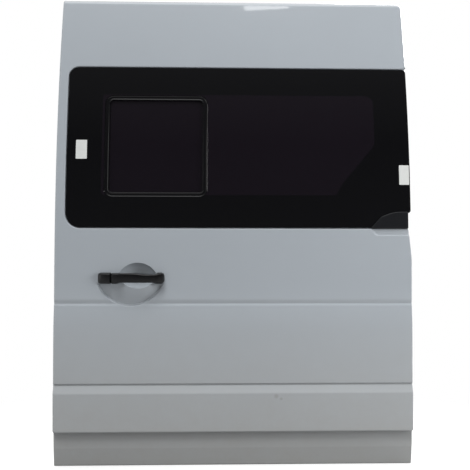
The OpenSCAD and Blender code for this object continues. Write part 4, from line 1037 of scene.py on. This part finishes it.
def bar_section(x, y0, y1, z0, z1, r_front, r_back):
    """Rounded section of a bar at x; y0 is its front."""
    corners = [(y0, z0, r_front), (y1, z0, r_back), (y1, z1, r_back), (y0, z1, r_front)]
    limit = min(y1 - y0, z1 - z0) / 2 - 0.05
    points, _ = ring([(a, b, max(min(c, limit), 0.05)) for a, b, c in corners], 1.0, 5, [1, 1, 1, 1])
    return np.stack([np.full(len(points), x), points[:, 0], points[:, 1]], 1)


def bar(name, xs, shape, front_r, back_r, ends, material):
    """Body along X. shape(x) gives y0, y1, z0, z1 and ends are the rounding radii of its two ends."""
    sections = []
    for x in xs:
        y0, y1, z0, z1 = shape(x)
        shrink = 0.0
        for distance, r in ((x - xs[0], ends[0]), (xs[-1] - x, ends[1])):
            if distance < r:
                shrink = max(shrink, r - math.sqrt(max(r * r - (r - distance) ** 2, 0)))
        shrink = min(shrink, (y1 - y0) / 2 - 0.3, (z1 - z0) / 2 - 0.3)
        sections.append(bar_section(x, y0 + shrink, y1 - shrink * 0.3, z0 + shrink, z1 - shrink,
                                    front_r, back_r))
    points, faces = lofted(sections)
    return outwards(mesh_object(name, points, faces, material, sharp=45))


def join(name, objects):
    """Makes one piece of several."""
    mesh = bpy.data.meshes.new(name)
    work = bmesh.new()
    for obj in objects:
        work.from_mesh(obj.data)
    work.to_mesh(mesh)
    work.free()
    for material in objects[0].data.materials:
        mesh.materials.append(material)
    smoothed(mesh, 45)
    for obj in objects:
        bpy.data.objects.remove(obj)
    return linked(name, mesh)


def build_handle():
    """Grip with its claw and arm, the end cap, the gaskets, and the bracket and pin behind them."""
    z0, z1 = HANDLE_Z - HANDLE_H / 2, HANDLE_Z + HANDLE_H / 2
    root = PANEL_Y - MOVE_GAP - 4
    foot0, foot1 = GRIP_X + FRONT_FOOT, GRIP_X1 - REAR_FOOT

    def grip_shape(x):
        u = (x - GRIP_X) / (GRIP_X1 - GRIP_X)
        front = PANEL_Y - np.interp(u, [0, 0.1, 0.25, 0.5, 0.75, 0.9, 1.0],
                                    [25.9, 29.6, 33.0, GRIP_OUT, 31.5, 25.0, 17.0])
        back = PANEL_Y - MOVE_GAP - plateau(x, foot0, 9, foot1 - 9, 9) * (GRIP_OUT - GRIP_T - MOVE_GAP)
        low = z0 + GRIP_WAIST * plateau(x, foot0 - 4, 16, foot1 - 14, 14)
        high = z1 - GRIP_WAIST * plateau(x, GRIP_X + 60, 50, foot1 - 10, 14)
        return front, max(back, front + GRIP_T * 0.8), low, high

    xs = np.concatenate([GRIP_X + np.array([0, 0.3, 0.8, 1.5, 2.3]),
                         np.arange(GRIP_X + 3.2, GRIP_X1 - 9, 1.6),
                         GRIP_X1 - np.array([9, 7.6, 6.2, 4.9, 3.7, 2.7, 1.8, 1.0, 0.45, 0.12, 0])])
    body = bar("grip_body", xs, grip_shape, 9.0, 2.5, (2.0, 8.5), grip_plastic())
    claw = bar("grip_claw", CLAW_X + np.array([0, 0.5, 3, 6.5, CLAW_W]),
               lambda x: (root, PANEL_Y + CLAW_D, HANDLE_Z - CLAW_H / 2, HANDLE_Z + CLAW_H / 2),
               1.0, 2.0, (0.5, 0.5), grip_plastic())
    arm = bar("grip_arm", PIVOT_X + np.array([-ARM_W / 2, -3.5, 0, 3.5, ARM_W / 2]),
              lambda x: (root, PANEL_Y + PIN_D + 6, HANDLE_Z - ARM_H / 2, HANDLE_Z + ARM_H / 2),
              1.0, 4.0, (0.5, 0.5), grip_plastic())
    keep(join("grip_bar", [body, claw, arm]), "handle", "handle_plastic", "handle_grip")

    def cap_shape(x):
        u = (x - HANDLE_X) / END_W
        front = PANEL_Y - np.interp(u, [0, 0.12, 0.3, 0.6, 1.0], [15.5, 18.2, 20.5, 23.3, 25.9])
        return front, PANEL_Y + 0.9, z0, z1

    end = HANDLE_X + END_W
    xs = np.concatenate([HANDLE_X + np.array([0, 0.1, 0.4, 0.9, 1.6, 2.5, 3.6, 4.8, 6.1, 7.5]),
                         np.linspace(HANDLE_X + 9, end - 2, 14), end - np.array([1.2, 0.6, 0.2, 0])])
    cap = bar("grip_end", xs, cap_shape, 9.0, 1.5, (8.0, 1.2), grip_plastic())
    keep(cap, "door", "handle_plastic", "handle_end_cap")
    # A thin pad closes the view between the end cap and the grip
    pad = bar("gap_pad", np.array([end - 2, end - 1.5, GRIP_X + 1.5, GRIP_X + 2]),
              lambda x: (PANEL_Y - 1.2, PANEL_Y - 0.1, z0 + 1.5, z1 - 1.5), 0.4, 0.1, (0.3, 0.3), rubber())
    gaskets = join("grip_gaskets", [dressed("gasket_pads", "handle_gaskets", rubber(), 0.3, 1), pad])
    keep(gaskets, "door", "rubber", "handle_gaskets")
    dress("grip_bracket", "handle_bracket", plated_steel(), "plated_steel", 1.0)
    dress("grip_pin", "handle_pivot_pin", plated_steel(), "plated_steel", 0.5)


def build_seal():
    """Bulb seal: a flat foot with a hollow-looking bulb and a lip on its outer side."""
    w, t = SEAL_W, SEAL_T
    profile = [(0.4, INNER_D + 0.1), (0.0, INNER_D + 1.2), (0.3, INNER_D + 2.8), (1.6, INNER_D + 3.4)]
    for a in np.radians(np.linspace(200, -20, 12)):
        profile.append((w * 0.52 + 0.44 * w * math.cos(a), INNER_D + t * 0.58 + 0.41 * t * math.sin(a)))
    profile += [(w - 0.3, INNER_D + 2.6), (w, INNER_D + 1.0), (w - 0.5, INNER_D + 0.1)]
    points, faces = round_section(profile, lambda inset: rectangle(SEAL, inset, (SEAL_R,) * 4), 14.0, 10)
    seal = outwards(mesh_object("bulb_seal", points, faces, rubber(), sharp=60))
    keep(seal, "door", "rubber", "door_seal")


def build_trim():
    """Pressed board with a raised field round the cup, and the release cup with its lever."""
    def depth(x, z):
        inset = depth_inside(x, z, FIELD, (FIELD_R,) * 4)
        return bend_y(z, INNER_D + TRIM_T - 0.2) - 2.2 * ease((inset + 2) / 9)

    outer, counts = box_line(TRIM, 0, 30.0, 8.0, 8)
    inner, _ = box_line(TRIM, 2.5, 30.0, 8.0, 8, counts)
    sheet = Sheet(depth, IN)
    border = sheet.add_line(inner)
    cup, _ = box_line(CUP, -1.0, CUP_R, 6.0, 4)
    sheet.add_line(cup)
    for s in (-3, -1, 1, 3, 5, 7, 9):
        sheet.add_inner_line(box_line(FIELD, s, FIELD_R, 9.0, 6)[0], inner)
    x0, z0, x1, z1 = TRIM
    sheet.triangulate(inner, [cup], lattice(spans((x0, x1, 16)), spans((z0, z1, 16))), 3.0)
    sheet.turn_edge(border, outer, 2.0, bend_y(outer[:, 1], INNER_D + 0.3), 4)
    sheet.piece("trim_board", 1.0, trim_board(), "trim_board", "trim_panel")
    dress("release_cup", "release_bezel", satin_plastic(), "black_plastic", 0.8)
    dress("release_paddle", "release_lever", satin_plastic(), "black_plastic", 1.4, 3)


# Piece, node, slot and width of its softened edges
HARDWARE = (("front_latch_case", "front_latch", "plated_steel", 1.2),
            ("rear_latch_case", "rear_latch", "plated_steel", 1.2),
            ("front_claw", "front_latch_claw", "claw_steel", 0.6),
            ("rear_claw", "rear_latch_claw", "claw_steel", 0.6),
            ("stop_buffers", "rubber_buffers", "rubber", 1.2),
            ("locating_pins", "guide_pins", "plated_steel", 0.6),
            ("hinge_pad", "hinge_plate", "plated_steel", 1.2),
            ("low_arm_bracket", "lower_arm_bracket", "plated_steel", 1.2),
            ("low_arm", "lower_roller_arm", "plated_steel", 1.0),
            ("low_rollers", "lower_rollers", "roller_plastic", 1.2),
            ("high_arm", "upper_roller_arm", "plated_steel", 1.0),
            ("high_roller", "upper_roller", "roller_plastic", 1.2),
            ("glue_bead", "glass_bond", "rubber", 0.8))
FINISHES = {"plated_steel": plated_steel, "claw_steel": claw_steel, "rubber": rubber,
            "roller_plastic": roller_nylon}


def build_hardware():
    """Latches, claws, buffers, pins, pad, arms, rollers and the glue bead."""
    for name, node, slot, width in HARDWARE:
        dress(name, node, FINISHES[slot](), slot, width)


def build_labels():
    """Two blank paper labels on the glass."""
    for name, box in LABELS:
        x0, z0, x1, z1 = box
        border, _ = box_line(box, 0, LABEL_R, 8.0, 3)
        sheet = Sheet(lambda x, z: bend_y(z, -LABEL_T - 0.05), OUT)
        sheet.add_line(border)
        sheet.triangulate(border, [], lattice(spans((x0, x1, 8)), spans((z0, z1, 8))), 2.0)
        sheet.piece(name, LABEL_T, paper(), "body_paint")


HEAD_SIZES = ("Head radius", "Head height", "Washer radius", "Washer height")


def head_tree(name, sides):
    """Geometry nodes that set a bolt or screw head, on its washer, on each point."""
    tree = bpy.data.node_groups.new(name, "GeometryNodeTree")
    face = tree.interface
    face.new_socket(name="Geometry", in_out="INPUT", socket_type="NodeSocketGeometry")
    for label, value in zip(HEAD_SIZES, (0.007, 0.005, 0.01, 0.0015)):
        socket = face.new_socket(name=label, in_out="INPUT", socket_type="NodeSocketFloat")
        socket.default_value = value
        socket.subtype = "DISTANCE"
    face.new_socket(name="Material", in_out="INPUT", socket_type="NodeSocketMaterial")
    face.new_socket(name="Geometry", in_out="OUTPUT", socket_type="NodeSocketGeometry")
    given = add(tree, "NodeGroupInput").outputs
    both = add(tree, "GeometryNodeJoinGeometry")
    for part, corners, base in (("Head", sides, given["Washer height"]), ("Washer", 24, 0.0)):
        height = given[part + " height"]
        disc = add(tree, "GeometryNodeMeshCylinder", {"Vertices": corners, "Radius": given[part + " radius"],
                                                      "Depth": height})
        middle = add(tree, "ShaderNodeMath", {0: height, 1: 0.5, 2: base}, operation="MULTIPLY_ADD")
        up = add(tree, "ShaderNodeCombineXYZ", {"Z": middle})
        raised = add(tree, "GeometryNodeTransform", {"Geometry": disc, "Translation": up})
        tree.links.new(raised.outputs["Geometry"], both.inputs["Geometry"])
    facing = add(tree, "GeometryNodeInputNamedAttribute", {"Name": "facing"}, data_type="FLOAT_VECTOR")
    turned = add(tree, "FunctionNodeAlignRotationToVector", {"Vector": facing}, axis="Z")
    heads = add(tree, "GeometryNodeInstanceOnPoints", {"Points": given["Geometry"], "Instance": both,
                                                       "Rotation": turned})
    real = add(tree, "GeometryNodeRealizeInstances", {"Geometry": heads})
    done = add(tree, "GeometryNodeSetMaterial", {"Geometry": real, "Material": given["Material"]})
    add(tree, "NodeGroupOutput", {"Geometry": done})
    return tree


def set_heads(name, places, sides, sizes, material, slot):
    """A head on each place, given as (x, y, z) in mm and the way it faces."""
    mesh = bpy.data.meshes.new(name)
    mesh.from_pydata(place([p for p, _ in places]).tolist(), [], [])
    facing = mesh.attributes.new("facing", "FLOAT_VECTOR", "POINT")
    facing.data.foreach_set("vector", [c for _, way in places for c in way])
    obj = linked(name, mesh)
    modifier = obj.modifiers.new("heads", "NODES")
    modifier.node_group = head_tree(name + "_nodes", sides)
    given = dict(zip(HEAD_SIZES, sizes), Material=material)
    for item in modifier.node_group.interface.items_tree:
        if item.in_out == "INPUT" and item.name in given:
            modifier[item.identifier] = given[item.name]
    softened = obj.modifiers.new("edges", "BEVEL")
    softened.width, softened.segments = 0.0004, 2
    keep(plain(obj), "door", slot)


def build_fasteners():
    """Bolts of the roller arms, screws of the latches, and clips of the trim board."""
    s = settings()
    back = (0.0, 1.0, 0.0)
    xs, zs = LOW_BOLTS
    bolts = [((x, INNER_Y + BRACKET_T, z), back) for x in xs for z in zs]
    for x, z in HIGH_BOLTS:
        slope = math.asin((z - WAIST_Z) / (BEND_R - INNER_D))
        y = float(bend_y(z, INNER_D + BRACKET_T))
        bolts.append(((x, y, z), (0.0, math.cos(slope), -math.sin(slope))))
    set_heads("arm_bolts", bolts, 6, (s.bolt_r, 0.0055, s.bolt_r * 1.45, 0.0016),
              plated_steel(), "plated_steel")
    screws = [((x, LATCH_Y + dy, z + dz), (way, 0.0, 0.0))
              for x, way, z in LATCHES for dy, dz in LATCH_SCREWS]
    set_heads("latch_screws", screws, 20, (s.screw_r, 0.002, s.screw_r * 1.2, 0.0006),
              plated_steel(), "plated_steel")
    x0, z0, x1, z1 = TRIM
    rim = [(x, z) for x in np.linspace(x0 + CLIP_INSET + 2, x1 - CLIP_INSET - 2, 6)
           for z in (z0 + CLIP_INSET, z1 - CLIP_INSET)]
    rim += [(x, z) for z in CLIP_Z for x in (x0 + CLIP_INSET, x1 - CLIP_INSET)]
    clips = [((x, float(bend_y(z, INNER_D + TRIM_T)), z), back) for x, z in rim]
    set_heads("trim_clips", clips, 24, (s.clip_r * 0.55, 0.0016, s.clip_r, 0.0014),
              satin_plastic(), "black_plastic")


# Stage

def seen_as_background(tree, behind):
    """1 for rays that meet the white background: the camera's, those through glass, and mirrored ones behind
    the door. In front of it mirrored rays meet the dim room, so the glass stays as dark as the real one."""
    path = add(tree, "ShaderNodeLightPath").outputs
    mirrored = add(tree, "ShaderNodeMath", {0: path["Is Glossy Ray"], 1: behind}, operation="MULTIPLY")
    through = add(tree, "ShaderNodeMath", {0: path["Is Camera Ray"], 1: path["Is Transmission Ray"]},
                  operation="MAXIMUM")
    return add(tree, "ShaderNodeMath", {0: through, 1: mirrored}, operation="MAXIMUM")


def dim_room():
    """World that lights the door plainly, and is white where it is seen as background."""
    world = bpy.data.worlds.new("studio")
    bpy.context.scene.world = world
    tree = emptied(world)
    coords = add(tree, "ShaderNodeTexCoord").outputs["Generated"]
    way = add(tree, "ShaderNodeSeparateXYZ", {"Vector": coords}).outputs
    height = add(tree, "ShaderNodeMapRange", {"Value": way["Z"], "From Min": -1.0})
    ramp = add(tree, "ShaderNodeValToRGB", {"Fac": height})
    stops = ramp.color_ramp.elements
    stops[0].position, stops[0].color = 0.30, (0.26, 0.26, 0.26, 1)
    stops[1].position, stops[1].color = 0.985, (2.2, 2.2, 2.2, 1)
    for position, grey in GREYS:
        stops.new(position).color = (grey, grey, grey, 1)
    # Behind the door the room is brighter, so its inner side and its edges read
    behind = add(tree, "ShaderNodeMapRange", {"Value": way["Y"], "From Min": -0.2, "From Max": 0.8})
    share = add(tree, "ShaderNodeMath", {0: behind, 1: 0.5}, operation="MULTIPLY")
    lift = add(tree, "ShaderNodeMix", {"Factor": share, "A": ramp, "B": (1, 1, 1, 1)}, data_type="RGBA")
    soft = add(tree, "ShaderNodeBackground", {"Color": lift, "Strength": 1.0})
    white = add(tree, "ShaderNodeBackground", {"Color": (1, 1, 1, 1), "Strength": 1.0})
    mixed = add(tree, "ShaderNodeMixShader", {0: seen_as_background(tree, behind), 1: soft, 2: white})
    add(tree, "ShaderNodeOutputWorld", {"Surface": mixed})


def pale_floor():
    """Floor just under the door, which keeps its shadow and fades into the white further off."""
    z = CAD_BOX[0][2] - 0.0005
    mesh = bpy.data.meshes.new("floor")
    mesh.from_pydata([(-9, -9, z), (8, -9, z), (8, 9, z), (-9, 9, z)], [], [(0, 1, 2, 3)])
    material = bpy.data.materials.new("pale_floor")
    mesh.materials.append(material)
    tree = emptied(material)
    coords = add(tree, "ShaderNodeTexCoord").outputs["Object"]
    cloud = add(tree, "ShaderNodeTexNoise", {"Vector": coords, "Scale": 3.0, "Detail": 5.0})
    place_y = add(tree, "ShaderNodeSeparateXYZ", {"Vector": coords}).outputs["Y"]
    behind = add(tree, "ShaderNodeMapRange", {"Value": place_y, "From Min": 0.0, "From Max": 0.5})
    seen = seen_as_background(tree, behind)
    # The camera sees a pale floor; the light that it throws back on the door is that of a mid-grey one
    level = add(tree, "ShaderNodeMapRange", {"Value": seen, "To Min": 0.27, "To Max": 0.86})
    patches = add(tree, "ShaderNodeMapRange", {"Value": cloud, "To Min": 1.0, "To Max": 1.05})
    grey = add(tree, "ShaderNodeMath", {0: level, 1: patches}, operation="MULTIPLY")
    matt = add(tree, "ShaderNodeBsdfPrincipled", {"Base Color": grey, "Roughness": 0.6})
    glow = add(tree, "ShaderNodeEmission", {"Color": (1, 1, 1, 1), "Strength": 1.0})
    away = add(tree, "ShaderNodeVectorMath", {0: coords, 1: (MIDDLE_X, 0.05, z)}, operation="DISTANCE")
    fade = add(tree, "ShaderNodeMapRange", {"Value": away, "From Min": 0.5, "From Max": 1.3, "To Min": 0.55,
                                            "To Max": 1.0}, interpolation_type="SMOOTHSTEP")
    share = add(tree, "ShaderNodeMath", {0: seen, 1: fade}, operation="MULTIPLY")
    mixed = add(tree, "ShaderNodeMixShader", {0: share, 1: matt, 2: glow})
    add(tree, "ShaderNodeOutputMaterial", {"Surface": mixed})
    linked("floor", mesh)


def build_stage():
    """Room, floor, lamps and camera."""
    dim_room()
    pale_floor()
    for name, spot, size, share, mirrored in LAMPS:
        lamp = bpy.data.lights.new(name, "AREA")
        lamp.shape, lamp.energy = "RECTANGLE", settings().lamp_w * share
        lamp.size, lamp.size_y = size
        obj = linked(name, lamp)
        obj.location = spot
        obj.rotation_euler = (Vector((MIDDLE_X, 0.0, 0.0)) - obj.location).to_track_quat("-Z", "Y").to_euler()
        obj.visible_glossy = mirrored
    camera = bpy.data.cameras.new("camera")
    camera.sensor_width, camera.lens = 36.0, LENS
    obj = linked("camera", camera)
    obj.location = CAMERA_AT
    obj.rotation_euler = [math.radians(a) for a in CAMERA_TURN]
    scene = bpy.context.scene
    scene.camera = obj
    scene.view_settings.view_transform = "Standard"


# Add-on

class BuildStage(bpy.types.Operator):
    """Sets the floor, the lamps, the world and the camera."""

    bl_idname = "van_door.stage"
    bl_label = "Stage"
    bl_options = {"REGISTER", "UNDO"}

    def execute(self, context):
        build_stage()
        return {"FINISHED"}


class BuildSkin(bpy.types.Operator):
    """Presses the outer skin with its creases, window recess, pocket and handle bowl."""

    bl_idname = "van_door.skin"
    bl_label = "Outer skin"
    bl_options = {"REGISTER", "UNDO"}

    def execute(self, context):
        build_skin()
        return {"FINISHED"}


class BuildStrip(bpy.types.Operator):
    """Folds the strip below the bulge."""

    bl_idname = "van_door.strip"
    bl_label = "Sill strip"
    bl_options = {"REGISTER", "UNDO"}

    def execute(self, context):
        build_strip()
        return {"FINISHED"}


class BuildInnerShell(bpy.types.Operator):
    """Presses the inner structure with its beads, holes and turned walls."""

    bl_idname = "van_door.inner_shell"
    bl_label = "Inner structure"
    bl_options = {"REGISTER", "UNDO"}

    def execute(self, context):
        build_inner_shell()
        return {"FINISHED"}


class BuildGlass(bpy.types.Operator):
    """Cuts the curved glass with its printed border and the small pane."""

    bl_idname = "van_door.glass"
    bl_label = "Glass"
    bl_options = {"REGISTER", "UNDO"}

    def execute(self, context):
        build_glass()
        return {"FINISHED"}


class BuildVentFrame(bpy.types.Operator):
    """Moulds the frame, the rails and the latch of the small sliding pane."""

    bl_idname = "van_door.vent_frame"
    bl_label = "Pane frame and rails"
    bl_options = {"REGISTER", "UNDO"}

    def execute(self, context):
        build_vent_frame()
        return {"FINISHED"}


class BuildRailCap(bpy.types.Operator):
    """Moulds the cap at the rear end of the waist rail."""

    bl_idname = "van_door.rail_cap"
    bl_label = "Rail end cap"
    bl_options = {"REGISTER", "UNDO"}

    def execute(self, context):
        build_rail_cap()
        return {"FINISHED"}


class BuildHandle(bpy.types.Operator):
    """Moulds the pull grip and its end cap."""

    bl_idname = "van_door.handle"
    bl_label = "Handle"
    bl_options = {"REGISTER", "UNDO"}

    def execute(self, context):
        build_handle()
        return {"FINISHED"}


class BuildSeal(bpy.types.Operator):
    """Runs the bulb seal round the inner structure."""

    bl_idname = "van_door.seal"
    bl_label = "Seal"
    bl_options = {"REGISTER", "UNDO"}

    def execute(self, context):
        build_seal()
        return {"FINISHED"}


class BuildTrim(bpy.types.Operator):
    """Presses the trim board and sets the release cup in it."""

    bl_idname = "van_door.trim"
    bl_label = "Trim board"
    bl_options = {"REGISTER", "UNDO"}

    def execute(self, context):
        build_trim()
        return {"FINISHED"}


class BuildHardware(bpy.types.Operator):
    """Softens the edges of the latches, arms, rollers and pads."""

    bl_idname = "van_door.hardware"
    bl_label = "Latches and arms"
    bl_options = {"REGISTER", "UNDO"}

    def execute(self, context):
        build_hardware()
        return {"FINISHED"}


class BuildLabels(bpy.types.Operator):
    """Lays two blank labels on the glass."""

    bl_idname = "van_door.labels"
    bl_label = "Blank labels"
    bl_options = {"REGISTER", "UNDO"}

    def execute(self, context):
        build_labels()
        return {"FINISHED"}


class BuildFasteners(bpy.types.Operator):
    """Sets bolts, screws and trim clips."""

    bl_idname = "van_door.fasteners"
    bl_label = "Fasteners"
    bl_options = {"REGISTER", "UNDO"}

    def execute(self, context):
        build_fasteners()
        return {"FINISHED"}


STEPS = (BuildStage, BuildSkin, BuildStrip, BuildInnerShell, BuildGlass, BuildVentFrame, BuildRailCap,
         BuildHandle, BuildSeal, BuildTrim, BuildHardware, BuildLabels, BuildFasteners)


class VAN_DOOR_PT_panel(bpy.types.Panel):
    """Lists the settings and the building steps."""

    bl_idname = "VAN_DOOR_PT_panel"
    bl_label = "Van door"
    bl_space_type = "VIEW_3D"
    bl_region_type = "UI"
    bl_category = "Van door"

    def draw(self, context):
        for key in VanDoorSettings.__annotations__:
            self.layout.prop(context.scene.van_door, key)
        for step in STEPS:
            self.layout.operator(step.bl_idname)


def register():
    for cls in (VanDoorSettings,) + STEPS + (VAN_DOOR_PT_panel,):
        bpy.utils.register_class(cls)
    bpy.types.Scene.van_door = bpy.props.PointerProperty(type=VanDoorSettings)


def unregister():
    del bpy.types.Scene.van_door
    for cls in reversed((VanDoorSettings,) + STEPS + (VAN_DOOR_PT_panel,)):
        bpy.utils.unregister_class(cls)


def main():
    register()
    for step in STEPS:
        group, name = step.bl_idname.split(".")
        getattr(getattr(bpy.ops, group), name)()


if __name__ == "__main__":
    main()
